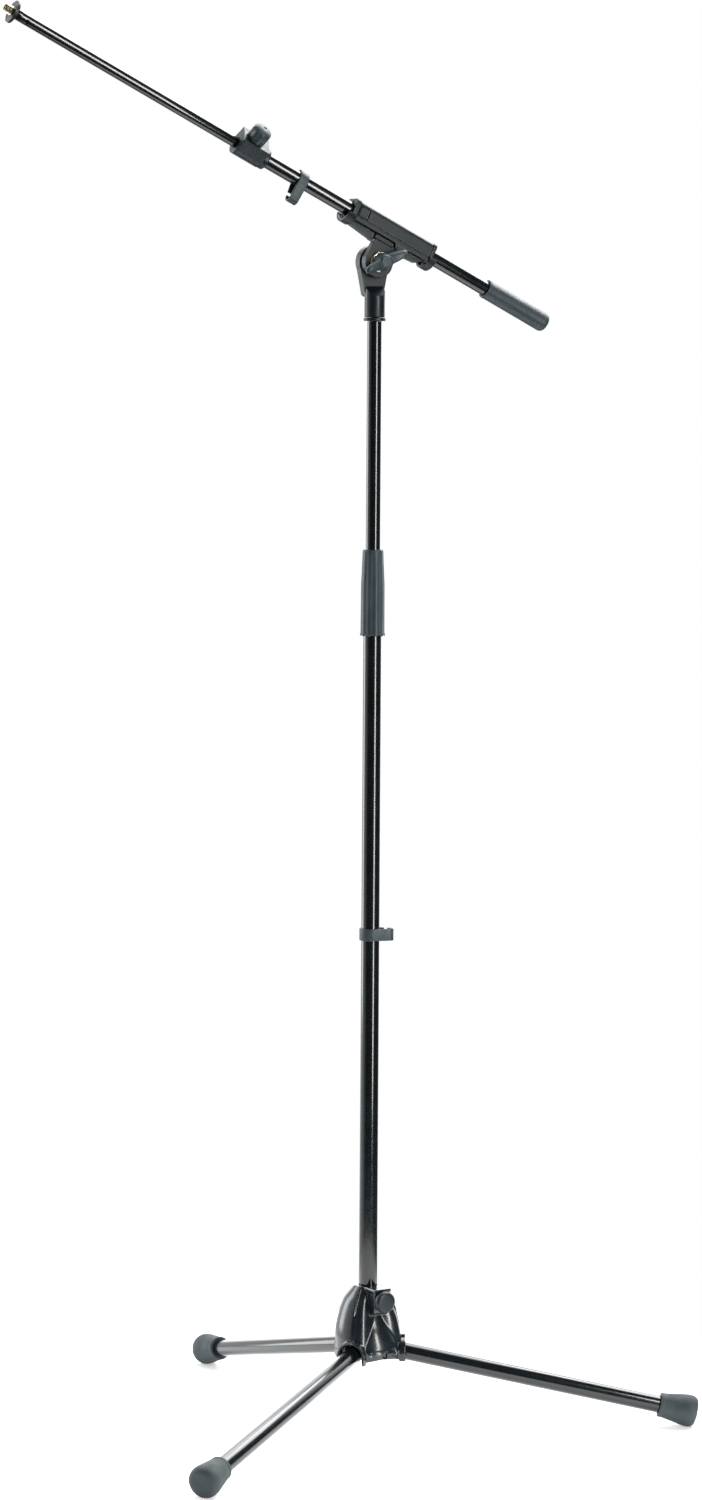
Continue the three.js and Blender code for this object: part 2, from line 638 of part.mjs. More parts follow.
// A half cup under each end of the barrel.
function carrierCups() {
  const from = BARREL_TIP - CUP_LENGTH;
  const to = BARREL_TAIL + CUP_LENGTH;
  const outerR = BARREL_HALF + 4.5;
  const side = 2 * outerR;
  const top = BOOM_RISE + side;
  const shell = alongX(bar(outerR, from, to, outerR - 3.3)).translate([0, 0, BOOM_RISE]);
  const upper = box([from - 1, to + 1], [-side, side], [RAIL_TOP, top]);
  const middle = box([BARREL_TIP + 6, BARREL_TAIL - 6], [-side, side], [0, top]);
  const shellRoom = box([BARREL_TIP - SEAT, BARREL_TAIL + SEAT], [-side, side], [RAIL_TOP, top]);
  return shell.subtract(upper).subtract(middle).subtract(shellRoom);
}

function boomCarrier() {
  const rail = box([BARREL_TIP, BARREL_TAIL], [-RAIL_HALF, RAIL_HALF], [RAIL_BOTTOM, RAIL_TOP]);
  const groove = alongX(bar(LINER_R + SEAT, BARREL_TIP - 10, BARREL_TAIL + 10));
  const boltHole = alongY(bar(TILT_BOLT_R + FIT, -EAR_R, EAR_R, 0, SMALL_ROUND));
  return carrierEar()
    .add(carrierKeel())
    .add(rail)
    .add(carrierCups())
    .subtract(groove.translate([0, 0, BOOM_RISE]))
    .subtract(boltHole);
}

// The cover over the boom tube: flat sides and a rounded top, open below.
function shellOutline(half, rise, bottom, corner) {
  const outline = new THREE.Shape();
  outline.moveTo(-half, bottom);
  outline.lineTo(half, bottom);
  outline.lineTo(half, rise - corner);
  outline.quadraticCurveTo(half, rise, half - corner, rise);
  outline.lineTo(-half + corner, rise);
  outline.quadraticCurveTo(-half, rise, -half, rise - corner);
  outline.closePath();
  return outline;
}

function barrelShell() {
  const bottom = RAIL_TOP - BOOM_RISE + SEAT;
  const top = BARREL_HALF - 0.5;
  const collar = 4.5;
  const proudBy = 0.9;
  const along = (outline, from, to) =>
    pushed(outline, from, to, 6).rotate([90, 0, 90]).translate([0, 0, BOOM_RISE]);
  const plain = shellOutline(BARREL_HALF, top, bottom, 6);
  const proud = shellOutline(BARREL_HALF + proudBy, top + proudBy, bottom, 6.5);
  const boreR = LINER_R + SEAT;
  const bore = alongX(bar(boreR, BARREL_TIP - 5, BARREL_TAIL + 5)).translate([0, 0, BOOM_RISE]);
  const slot = box([BARREL_TIP - 5, BARREL_TAIL + 5], [-boreR, boreR], [0, BOOM_RISE]);
  const windowFrom = BARREL_TIP + 8;
  const windowHigh = [BOOM_RISE - 3, BOOM_RISE + 7];
  const window = box([windowFrom, windowFrom + 12], [-20, 1 - BARREL_HALF], windowHigh);
  return along(plain, BARREL_TIP, BARREL_TAIL)
    .add(along(proud, BARREL_TIP, BARREL_TIP + collar))
    .add(along(proud, BARREL_TAIL - collar, BARREL_TAIL))
    .subtract(bore)
    .subtract(slot)
    .subtract(window);
}

// ---------------------------------------------------------------- boom
// These pieces are built on the boom axis, so their frame is BOOM_RISE above the head's.
const boomLiner = () =>
  alongX(bar(LINER_R, BARREL_TIP + 1, BARREL_TAIL - 1, BOOM_TUBE_R + FIT));

const boomOuterTube = () =>
  alongX(bar(BOOM_TUBE_R, BOOM_TUBE_TIP, BOOM_TUBE_TAIL, BOOM_TUBE_R - TUBE_WALL));

const boomEndPlug = () =>
  alongX(bar(BOOM_TUBE_R - TUBE_WALL - FIT, BOOM_TUBE_TAIL - 16, BOOM_TUBE_TAIL - 1));

function boomGrip() {
  const bore = BOOM_TUBE_R + FIT;
  return alongX(
    turned([
      [0, BOOM_TUBE_TAIL + SEAT], [bore, BOOM_TUBE_TAIL + SEAT], [bore, GRIP_MOUTH],
      [GRIP_R - 0.3, GRIP_MOUTH], [GRIP_R, GRIP_MOUTH + 0.6], [GRIP_R, GRIP_END - 4],
      [GRIP_R - 1.2, GRIP_END - 1.4], [GRIP_R - 4, GRIP_END], [0, GRIP_END],
    ]),
  );
}

// The clamp block is built with its knob straight up, and turned towards the front later.
function teleClampBlock() {
  const outline = new THREE.Shape();
  outline.absarc(0, 0, BLOCK_R, Math.PI, 2 * Math.PI, false);
  outline.lineTo(BLOCK_R - 0.4, BLOCK_TOP);
  outline.lineTo(-BLOCK_R + 0.4, BLOCK_TOP);
  outline.closePath();
  const body = pushed(outline, BLOCK_TIP, BLOCK_TAIL, 16).rotate([90, 0, 90]);
  const collarR = BLOCK_R - 0.6;
  const collar = alongX(
    turned([
      [0, BLOCK_TAIL - 1], [collarR, BLOCK_TAIL - 1], [collarR, BLOCK_COLLAR - 1.2],
      [collarR - 1, BLOCK_COLLAR], [0, BLOCK_COLLAR],
    ]),
  );
  const tubeSeat = alongX(bar(BOOM_TUBE_R + FIT, BOOM_TUBE_TIP - SEAT, BLOCK_COLLAR + 1));
  const rodBore = alongX(bar(BOOM_ROD_R + FIT, BLOCK_TIP - 1, BLOCK_COLLAR));
  const screwHole = bar(CLAMP_SCREW_R + FIT, 0, BLOCK_TOP + 1, 0, SMALL_ROUND);
  return body
    .add(collar)
    .subtract(tubeSeat)
    .subtract(rodBore)
    .subtract(screwHole.translate([TELE_KNOB_AT, 0, 0]));
}

// The threaded stud at the tip, with a plug behind it that fits in the rod's end.
function boomTipStud() {
  const shoulder = ROD_TIP - SEAT / 2;
  const plugR = BOOM_ROD_R - TUBE_WALL - FIT;
  const plugEnd = ROD_TIP + 26;
  const profile = [
    [0, ROD_TIP - TIP_STUD], [STUD_R, ROD_TIP - TIP_STUD], [STUD_R, shoulder],
    [plugR, shoulder], [plugR, plugEnd], [0, plugEnd],
  ];
  return turned(profile, SMALL_ROUND);
}

// A domed hand knob on a screw, standing on Z.
function teleClampKnob() {
  const from = BLOCK_TOP + SEAT;
  const rings = [
    [from, TELE_KNOB_R - 0.8], [from + 1, TELE_KNOB_R - 0.2], [from + 9, TELE_KNOB_R],
    [TELE_KNOB_TOP - 5, TELE_KNOB_R], [TELE_KNOB_TOP - 2.6, TELE_KNOB_R - 1.3],
    [TELE_KNOB_TOP - 0.8, TELE_KNOB_R - 4], [TELE_KNOB_TOP, TELE_KNOB_R - 7.5],
  ];
  const skin = (turn, ring) => {
    const [height, r] = rings[ring];
    const dip = 0.45 * (1 - Math.cos(8 * turn));
    const fade = ring > rings.length - 4 ? 0 : 1;
    return [r - dip * fade, height];
  };
  const body = shaped(40, rings.length - 1, skin);
  return body.subtract(bar(CLAMP_SCREW_R + FIT, 0, TELE_KNOB_TOP - 8, 0, SMALL_ROUND));
}

// ---------------------------------------------------------------- clamp of the base
const BASE_KNOB_BACK = BASE_BOSS_REACH + SEAT;
const BASE_KNOB_DISC = 5;
const BASE_KNOB_FRONT = BASE_KNOB_BACK + 9.4;

function baseClampKnob() {
  const discEnd = BASE_KNOB_BACK + BASE_KNOB_DISC;
  const disc = turned([
    [0, BASE_KNOB_BACK], [BASE_KNOB_R - 1, BASE_KNOB_BACK], [BASE_KNOB_R, BASE_KNOB_BACK + 1],
    [BASE_KNOB_R, discEnd - 1.2], [BASE_KNOB_R - 1.2, discEnd], [0, discEnd],
  ]);
  const ridge = new THREE.Shape();
  ridge.absarc(0, BASE_KNOB_R - 4.4, 3.2, 0, Math.PI, false);
  ridge.absarc(0, 4.4 - BASE_KNOB_R, 3.2, Math.PI, 2 * Math.PI, false);
  ridge.closePath();
  const hole = bar(CLAMP_SCREW_R + FIT, 0, BASE_KNOB_FRONT - 3, 0, SMALL_ROUND);
  return disc.add(pushed(ridge, discEnd - 1, BASE_KNOB_FRONT)).subtract(hole);
}

// ---------------------------------------------------------------- put together
add("base_casting", baseCasting(), CAST_PAINT());
LEG_TURNS.forEach((turn, index) => {
  const round = frameAt(stand, [0, 0, 0], [0, 0, turn]);
  const pinFrame = frameAt(round, [LEG_PIN_REACH, 0, LEG_PIN_HEIGHT], [0, 0, 0]);
  const legFrame = frameAt(pinFrame, [0, 0, 0], [0, LEG_SLOPE, 0]);
  const number = index + 1;
  add(`leg_pin_${number}`, legPin(), STEEL(), pinFrame);
  add(`leg_tube_${number}`, legTube(), GLOSS_PAINT(), legFrame);
  add(`leg_bush_${number}`, legBush(), DARK_PLASTIC(), legFrame);
  add(`leg_foot_${number}`, legFoot(), FOOT_RUBBER(), legFrame);
});

const knobRound = frameAt(stand, [0, 0, BASE_KNOB_HEIGHT], [0, 0, BASE_KNOB_TURN]);
const padStart = BORE_R + 0.1;
const padEnd = padStart + PAD_THICKNESS;
const padR = CLAMP_SCREW_R + FIT;
add("base_clamp_pad", alongX(bar(padR, padStart, padEnd, 0, SMALL_ROUND)), STEEL(), knobRound);
add(
  "base_clamp_screw",
  alongX(clampScrew(padEnd + SEAT, BASE_KNOB_FRONT - 3.4)),
  STEEL(),
  knobRound,
);
add("base_clamp_knob", alongX(baseClampKnob()), DARK_PLASTIC(), knobRound);

const lowerTubeFrom = COLUMN_BOTTOM + 3 + SEAT;
const LOWER_BORE_R = LOWER_TUBE_R - TUBE_WALL;
add(
  "lower_tube",
  bar(LOWER_TUBE_R, lowerTubeFrom, LOWER_TUBE_TOP, LOWER_BORE_R),
  GLOSS_PAINT(),
);
add("lower_tube_plug", lowerTubePlug(), DARK_PLASTIC());
add("clutch_body", clutchBody(), STEEL());
add("clutch_collet", clutchCollet(), DARK_PLASTIC());
add("clutch_sleeve", clutchSleeve(), GREY_PLASTIC());
const columnClip = frameAt(stand, [0, 0, COLUMN_CLIP_HEIGHT], [0, 0, -8]);
add("cable_clip_column", cableClip(LOWER_TUBE_R, 25, 13), GREY_PLASTIC(), columnClip);

add("upper_guide_bush", guideBush(UPPER_TUBE_R, LOWER_BORE_R, UPPER_TUBE_BOTTOM), DARK_PLASTIC());
add(
  "upper_tube",
  bar(UPPER_TUBE_R, UPPER_TUBE_BOTTOM, UPPER_TUBE_TOP, UPPER_TUBE_R - TUBE_WALL),
  GLOSS_PAINT(),
);
add("upper_tube_stud", upperTubeStud(), STEEL());
add("socket_ring", socketRing(), DARK_PLASTIC());

const head = frameAt(stand, [0, 0, PIVOT_HEIGHT], [0, 0, HEAD_TURN]);
add("head_socket", headSocket(), CAST_PAINT(), head);
add("friction_disc", frictionDisc(), DARK_PLASTIC(), head);
add("tilt_bolt", tiltBolt(), STEEL(), head);
const wing = frameAt(head, [0, 0, 0], [0, -WING_RISE, 0]);
add("tilt_washer", tiltWasher(), NICKEL(), wing);
add("wing_insert", wingInsert(), STEEL(), wing);
add("wing_nut", wingNut(), GREY_PLASTIC(), wing);

const carrier = frameAt(head, [0, 0, 0], [0, BOOM_TILT, 0]);
add("boom_carrier", boomCarrier(), DARK_PLASTIC(), carrier);
add("barrel_shell", barrelShell(), DARK_PLASTIC(), carrier);

const boom = frameAt(carrier, [0, 0, BOOM_RISE], [0, 0, 0]);
add("boom_liner", boomLiner(), DARK_PLASTIC(), boom);
add("boom_outer_tube", boomOuterTube(), GLOSS_PAINT(), boom);
add("boom_end_plug", boomEndPlug(), DARK_PLASTIC(), boom);
add("boom_grip", boomGrip(), GREY_PLASTIC(), boom);
const boomClip = frameAt(boom, [BOOM_CLIP_AT, 0, 0], [0, 90, 0]);
add("cable_clip_boom", cableClip(BOOM_TUBE_R, 27, 11), GREY_PLASTIC(), boomClip);

const block = frameAt(boom, [0, 0, 0], [TELE_KNOB_TURN, 0, 0]);
add("tele_clamp_block", teleClampBlock(), DARK_PLASTIC(), block);
const teleScrew = frameAt(block, [TELE_KNOB_AT, 0, 0], [0, 0, 0]);
const telePadFrom = BOOM_ROD_R + FIT;
const telePadTo = telePadFrom + PAD_THICKNESS;
add("tele_clamp_pad", bar(CLAMP_SCREW_R, telePadFrom, telePadTo, 0, SMALL_ROUND), STEEL(), teleScrew);
add("tele_clamp_screw", clampScrew(telePadTo + SEAT, TELE_KNOB_TOP - 8.4), STEEL(), teleScrew);
add("tele_clamp_knob", teleClampKnob(), GREY_PLASTIC(), teleScrew);

const BOOM_BORE_R = BOOM_TUBE_R - TUBE_WALL;
const rodBush = guideBush(BOOM_ROD_R, BOOM_BORE_R, -ROD_TAIL).rotate([0, -90, 0]);
add("boom_inner_bush", rodBush, DARK_PLASTIC(), boom);
add(
  "boom_inner_tube",
  alongX(bar(BOOM_ROD_R, ROD_TIP, ROD_TAIL, BOOM_ROD_R - TUBE_WALL)),
  GLOSS_PAINT(),
  boom,
);
const flangeFrom = ROD_TIP - SEAT - TIP_FLANGE;
add(
  "boom_tip_flange",
  alongX(bar(TIP_FLANGE_R, flangeFrom, ROD_TIP - SEAT, STUD_R + FIT)),
  CAST_PAINT(),
  boom,
);
add("boom_tip_stud", alongX(boomTipStud()), NICKEL(), boom);

// The part's origin is on the floor, under the middle of the whole stand.
const whole = new THREE.Box3().setFromObject(stand, true);
const middle = whole.getCenter(new THREE.Vector3());
stand.position.set(-middle.x, -middle.y, -whole.min.z);
const group = new THREE.Group();
group.add(stand);

export default group;
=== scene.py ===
"""Looks for a floor-standing boom microphone stand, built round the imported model.

Every piece is modelled in millimetres in the frame of the part it belongs to, and is put in
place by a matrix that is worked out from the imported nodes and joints.
"""
import json
import math

import bmesh
import bpy
from mathutils import Matrix, Vector

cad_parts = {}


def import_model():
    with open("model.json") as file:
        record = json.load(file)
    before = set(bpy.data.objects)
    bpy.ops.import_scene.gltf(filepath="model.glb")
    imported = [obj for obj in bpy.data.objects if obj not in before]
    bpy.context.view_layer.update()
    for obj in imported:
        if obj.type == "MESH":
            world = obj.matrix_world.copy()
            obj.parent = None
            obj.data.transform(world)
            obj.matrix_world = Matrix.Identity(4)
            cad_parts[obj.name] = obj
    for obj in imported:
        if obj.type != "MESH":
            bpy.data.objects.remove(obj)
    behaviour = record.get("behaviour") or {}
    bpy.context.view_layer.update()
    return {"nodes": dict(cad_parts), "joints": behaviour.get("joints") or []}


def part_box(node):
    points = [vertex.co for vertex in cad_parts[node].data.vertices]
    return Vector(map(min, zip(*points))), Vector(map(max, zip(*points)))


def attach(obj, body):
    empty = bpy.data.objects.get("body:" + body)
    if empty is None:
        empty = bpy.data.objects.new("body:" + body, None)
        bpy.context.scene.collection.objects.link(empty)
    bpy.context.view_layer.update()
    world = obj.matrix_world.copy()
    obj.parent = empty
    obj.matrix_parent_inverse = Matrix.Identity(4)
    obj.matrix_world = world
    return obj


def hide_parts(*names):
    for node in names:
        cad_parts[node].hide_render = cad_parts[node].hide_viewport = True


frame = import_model()
NODES = frame["nodes"]
JOINTS = {joint["name"]: joint for joint in frame["joints"]}
SCENE = bpy.context.scene
MM = 0.001
LEGS = (1, 2, 3)

# ---------------------------------------------------------------- frames
UP = Vector((0, 0, 1))
ALONG_X = Matrix.Rotation(math.radians(90), 4, "Y")
ALONG_Y = Matrix.Rotation(math.radians(90), 4, "X")  # Z points to the front


def basis(origin, x, y, z):
    """A matrix from millimetres along x, y and z to the row frame's metres."""
    turn = Matrix((x.normalized(), y.normalized(), z.normalized())).transposed().to_4x4()
    return Matrix.Translation(origin) @ turn @ Matrix.Scale(MM, 4)


def middle(node):
    """The middle of a node's box, in metres."""
    low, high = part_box(node)
    return (low + high) / 2


def axis(joint):
    """The unit direction of a joint's axis."""
    return Vector(JOINTS[joint]["axis"]).normalized()


def seat(joint):
    """A point on a joint's axis, in metres."""
    return Vector(JOINTS[joint]["pos_m"])


def span(node, place, i):
    """Lowest and highest reach of a node along axis i of a piece's own millimetres."""
    back = place.inverted()
    reaches = [(back @ vertex.co)[i] for vertex in NODES[node].data.vertices]
    return min(reaches), max(reaches)


def flat(v):
    """The level part of a vector."""
    return Vector((v.x, v.y, 0))


FOOT_OF_COLUMN = flat(middle("lower_tube"))
COLUMN = basis(FOOT_OF_COLUMN, Vector((1, 0, 0)), Vector((0, 1, 0)), UP)

PIVOT = seat("boom_tilt")
BACK = -axis("tilt_washer_press")
HEAD = basis(PIVOT, BACK.cross(UP), BACK, UP)

TAILWARD = -axis("rod_slide")
BOOM_UP = TAILWARD.cross(BACK)
RISE = (seat("boom_roll") - PIVOT).dot(BOOM_UP)
CARRIER = basis(PIVOT, TAILWARD, BACK, BOOM_UP)
BOOM_SEAT = PIVOT + BOOM_UP * RISE
BOOM = basis(BOOM_SEAT, TAILWARD, BACK, BOOM_UP)
BOOM_RISE = RISE / MM


def leg_frame(i):
    """X runs along the leg from its pin, and Y lies along the pin."""
    pin = seat(f"leg_{i}_fold")
    outwards = (middle(f"leg_tube_{i}") - pin).normalized()
    across = axis(f"leg_{i}_fold")
    if outwards.cross(across).z < 0:
        across = -across
    return basis(pin, outwards, across, outwards.cross(across))


LEG = {i: leg_frame(i) for i in LEGS}
PIN_REACH = flat(seat("leg_1_fold") - FOOT_OF_COLUMN).length / MM
PIN_HEIGHT = seat("leg_1_fold").z / MM


def turn_of(point):
    """Angle round the column of a point."""
    away = point - FOOT_OF_COLUMN
    return math.atan2(away.y, away.x)


LEG_TURNS = [turn_of(seat(f"leg_{i}_fold")) for i in LEGS]
KNOB_TURN = turn_of(middle("base_clamp_knob"))
KNOB_HEIGHT = middle("base_clamp_knob").z / MM


def knob_frame():
    """X runs from the column out through the base knob."""
    outwards = flat(middle("base_clamp_knob") - FOOT_OF_COLUMN).normalized()
    return basis(FOOT_OF_COLUMN + UP * KNOB_HEIGHT * MM, outwards, UP.cross(outwards), UP)


def tele_frame():
    """X runs along the boom, and Z out through the clamp's knob."""
    knob = middle("tele_clamp_knob")
    origin = BOOM_SEAT + TAILWARD * (knob - BOOM_SEAT).dot(TAILWARD)
    outwards = (knob - origin).normalized()
    return basis(origin, TAILWARD, outwards.cross(TAILWARD), outwards)


KNOB = knob_frame()
TELE = tele_frame()

# ---------------------------------------------------------------- mesh tools


def soften(points, edge, closed=False, steps=4):
    """A polyline whose corners are rounded by about edge."""
    count = len(points)
    rounded = []
    for i, here in enumerate(points):
        if not closed and i in (0, count - 1):
            rounded.append(tuple(here))
            continue
        here = Vector(here)
        before = Vector(points[i - 1]) - here
        after = Vector(points[(i + 1) % count]) - here
        reach = min(edge, before.length * 0.45, after.length * 0.45)
        start = here + before.normalized() * reach
        end = here + after.normalized() * reach
        for step in range(steps + 1):
            t = step / steps
            rounded.append(tuple(start * (1 - t) ** 2 + here * 2 * t * (1 - t) + end * t * t))
    return rounded


def rectangle(left, right, bottom, top):
    return [(left, bottom), (right, bottom), (right, top), (left, top)]


def join_rings(bm, first, second):
    """A band of faces between two rings. Either ring may be a single point."""
    count = max(len(first), len(second))
    for k in range(count):
        corners = [
            first[k % len(first)],
            first[(k + 1) % len(first)],
            second[(k + 1) % len(second)],
            second[k % len(second)],
        ]
        unique = list(dict.fromkeys(corners))
        if len(unique) > 2:
            bm.faces.new(unique)


def loft(rings, closed=False):
    """A solid through rings of points. An open one is capped, and a closed one is a ring."""
    bm = bmesh.new()
    made = [[bm.verts.new(spot) for spot in ring] for ring in rings]
    for first, second in zip(made, made[1:]):
        join_rings(bm, first, second)
    if closed:
        join_rings(bm, made[-1], made[0])
    else:
        for end in (made[0], made[-1]):
            if len(end) > 2:
                bm.faces.new(end)
    return bm


def round_ring(radius, height, sides):
    """A circle in the XY plane. radius and height may be functions of the angle."""
    ring = []
    for k in range(sides):
        turn = 2 * math.pi * k / sides
        r = radius(turn) if callable(radius) else radius
        z = height(turn) if callable(height) else height
        ring.append((r * math.cos(turn), r * math.sin(turn), z))
    return ring


def lathe(profile, sides=72):
    """Radius and height pairs turned round Z: solid if it starts on the axis, else a ring."""
    rings = [
        [(0, 0, height)] if radius == 0 else round_ring(radius, height, sides)
        for radius, height in profile
    ]
    return loft(rings, closed=profile[0][0] != 0)


def tube(r, bore, start, end, edge=0.4, sides=72):
    """A ring along Z with rounded edges."""
    return lathe(soften(rectangle(bore, r, start, end), edge, closed=True, steps=3), sides)


def rod(r, start, end, edge=0.4, sides=72):
    """A bar along Z with rounded edges."""
    return lathe(soften(rectangle(0, r, start, end), edge, steps=3), sides)


# Where the two numbers of a flat outline and its depth go.
PLANES = {
    "xy": lambda a, b, d: (a, b, d),
    "xz": lambda a, b, d: (a, d, b),
    "yz": lambda a, b, d: (d, a, b),
}


def prism(outline, start, end, plane, edge=0.0):
    """A flat outline pushed across its plane, with its end edges drawn in by edge."""
    lift = PLANES[plane]
    centre = sum((Vector(p) for p in outline), Vector((0, 0))) / len(outline)
    layers = [(start, 0), (end, 0)]
    if edge:
        layers = [
            (start, edge), (start + 0.3 * edge, 0.3 * edge), (start + edge, 0),
            (end - edge, 0), (end - 0.3 * edge, 0.3 * edge), (end, edge),
        ]
    rings = []
    for depth, inset in layers:
        ring = []
        for p in outline:
            p = Vector(p)
            p = p + (centre - p).normalized() * inset
            ring.append(lift(p.x, p.y, depth))
        rings.append(ring)
    return loft(rings)


def box(x, y, z):
    return prism(rectangle(*x, *y), *z, "xy")


def arc(cx, cy, r, start, end, steps):
    """Points of an arc, with its angles in degrees."""
    points = []
    for k in range(steps + 1):
        turn = math.radians(start + (end - start) * k / steps)
        points.append((cx + r * math.cos(turn), cy + r * math.sin(turn)))
    return points


def moved(bm, matrix):
    bmesh.ops.transform(bm, matrix=matrix, verts=bm.verts)
    return bm


def turned(bm, turn, axis_name="Z"):
    return moved(bm, Matrix.Rotation(turn, 4, axis_name))


def shifted(bm, x=0, y=0, z=0):
    return moved(bm, Matrix.Translation((x, y, z)))


def as_object(bm, name="scratch"):
    bmesh.ops.recalc_face_normals(bm, faces=bm.faces)
    mesh = bpy.data.meshes.new(name)
    bm.to_mesh(mesh)
    bm.free()
    obj = bpy.data.objects.new(name, mesh)
    SCENE.collection.objects.link(obj)
    return obj


def joined(solids):
    """The solids in one mesh, overlapping where they overlap."""
    whole = bmesh.new()
    for part in solids:
        bmesh.ops.recalc_face_normals(part, faces=part.faces)
        mesh = bpy.data.meshes.new("scratch")
        part.to_mesh(mesh)
        part.free()
        whole.from_mesh(mesh)
        bpy.data.meshes.remove(mesh)
    return whole


def combine(adds, cuts, voxel, smooth=4):
    """One cast body: the solids joined, the cutters taken out, and every edge rounded."""
    body = as_object(joined(adds))
    body.modifiers.new("join", "REMESH").voxel_size = voxel
    cutters = [as_object(cut) for cut in cuts]
    for cutter in cutters:
        difference = body.modifiers.new("cut", "BOOLEAN")
        difference.operation = "DIFFERENCE"
        difference.solver = "MANIFOLD"
        difference.object = cutter
    if cutters:
        body.modifiers.new("even", "REMESH").voxel_size = voxel
    if smooth:
        soften_edges = body.modifiers.new("soften", "SMOOTH")
        soften_edges.factor = 0.5
        soften_edges.iterations = smooth
    bpy.context.view_layer.update()
    depsgraph = bpy.context.evaluated_depsgraph_get()
    mesh = bpy.data.meshes.new_from_object(body.evaluated_get(depsgraph))
    bm = bmesh.new()
    bm.from_mesh(mesh)
    bpy.data.meshes.remove(mesh)
    for obj in [body, *cutters]:
        bpy.data.objects.remove(obj)
    return bm


SHARP_ANGLE = 38
CAST_SHARP_ANGLE = 60


def piece(name, bm, place, body, slot, stands_for, sharp=SHARP_ANGLE):
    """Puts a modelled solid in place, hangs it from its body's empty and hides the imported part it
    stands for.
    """
    moved(bm, place)
    obj = as_object(bm, name)
    obj.data.shade_smooth()
    obj.data.set_sharp_from_angle(angle=math.radians(sharp))
    obj.data.materials.append(FINISHES[slot])
    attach(obj, body)
    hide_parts(*stands_for)
    return obj


# ---------------------------------------------------------------- materials


def tone(red, green, blue):
    """A colour on the 0 to 255 screen scale, as the linear colour that a shader takes."""
    linear = []
    for value in (red, green, blue):
        share = value / 255
        low = share <= 0.04045
        linear.append(share / 12.92 if low else ((share + 0.055) / 1.055) ** 2.4)
    return (*linear, 1)


def feed(tree, socket, value):
    """Links another node's output to a socket, or sets the socket to a plain value."""
    if isinstance(value, bpy.types.NodeSocket):
        tree.links.new(value, socket)
    else:
        socket.default_value = value


# The colour sockets of a Mix node by number, because their names repeat.
MIX_SHARE, MIX_FIRST, MIX_SECOND = 0, 6, 7
MIX_RESULT = 2


class Shader:
    """A material's node tree, with a short way to add and link nodes."""

    def __init__(self, name):
        self.material = bpy.data.materials.new(name)
        self.material.use_nodes = True
        self.tree = self.material.node_tree
        self.surface = self.tree.nodes["Principled BSDF"]
        self.place = self.tree.nodes.new("ShaderNodeTexCoord").outputs["Object"]

    def node(self, kind, inputs=None, **settings):
        made = self.tree.nodes.new(kind)
        for key, value in settings.items():
            setattr(made, key, value)
        for key, value in (inputs or {}).items():
            feed(self.tree, made.inputs[key], value)
        return made

    def noise(self, scale, detail=3.0, rough=0.55):
        inputs = {"Vector": self.place, "Scale": scale, "Detail": detail, "Roughness": rough}
        return self.node("ShaderNodeTexNoise", inputs).outputs["Fac"]

    def between(self, value, low, high, to_low=0.0, to_high=1.0):
        """A smooth step from to_low to to_high while the value goes from low to high."""
        inputs = {
            "Value": value, "From Min": low, "From Max": high, "To Min": to_low, "To Max": to_high,
        }
        made = self.node("ShaderNodeMapRange", inputs, interpolation_type="SMOOTHSTEP")
        return made.outputs["Result"]

    def mix(self, share, first, second):
        inputs = {MIX_SHARE: share, MIX_FIRST: first, MIX_SECOND: second}
        return self.node("ShaderNodeMix", inputs, data_type="RGBA").outputs[MIX_RESULT]

    def link(self, value, socket):
        """Feeds one of the surface's inputs from another node."""
        self.tree.links.new(value, self.surface.inputs[socket])

    def steady(self, **values):
        """Sets inputs of the surface that are the same all over it."""
        for key, value in values.items():
            self.surface.inputs[key.replace("_", " ")].default_value = value


DUST = tone(150, 155, 158)
RELIEF_DEPTH = 0.0003


def finish(name, dark, light, rough, grain, relief, wear=None, dust=0.0, **steady):
    """A surface with clouded colour, a grained relief, uneven gloss, worn edges and dust."""
    shader = Shader(name)
    clouds = shader.between(shader.noise(35, 5), 0.35, 0.65)
    colour = shader.mix(clouds, dark, light)
    if wear is not None:
        edges = shader.node("ShaderNodeNewGeometry").outputs["Pointiness"]
        rubbed = shader.between(edges, 0.54, 0.66)
        patchy = shader.between(shader.noise(220, 3), 0.45, 0.7, 0.1, 0.8)
        share = shader.node(
            "ShaderNodeMath", {0: rubbed, 1: patchy}, operation="MULTIPLY"
        ).outputs[0]
        colour = shader.mix(share, colour, wear)
    if dust:
        specks = shader.between(shader.noise(1400, 1, 0.4), 0.74, 0.8, 0, dust)
        colour = shader.mix(specks, colour, DUST)
    shader.link(colour, "Base Color")
    smears = shader.noise(90, 4)
    shader.link(shader.between(smears, 0.3, 0.7, rough[0], rough[1]), "Roughness")
    fine = shader.noise(grain, 2, 0.6)
    bump = shader.node(
        "ShaderNodeBump", {"Strength": relief, "Distance": RELIEF_DEPTH, "Height": fine}
    )
    shader.link(bump.outputs["Normal"], "Normal")
    shader.steady(**steady)
    return shader.material


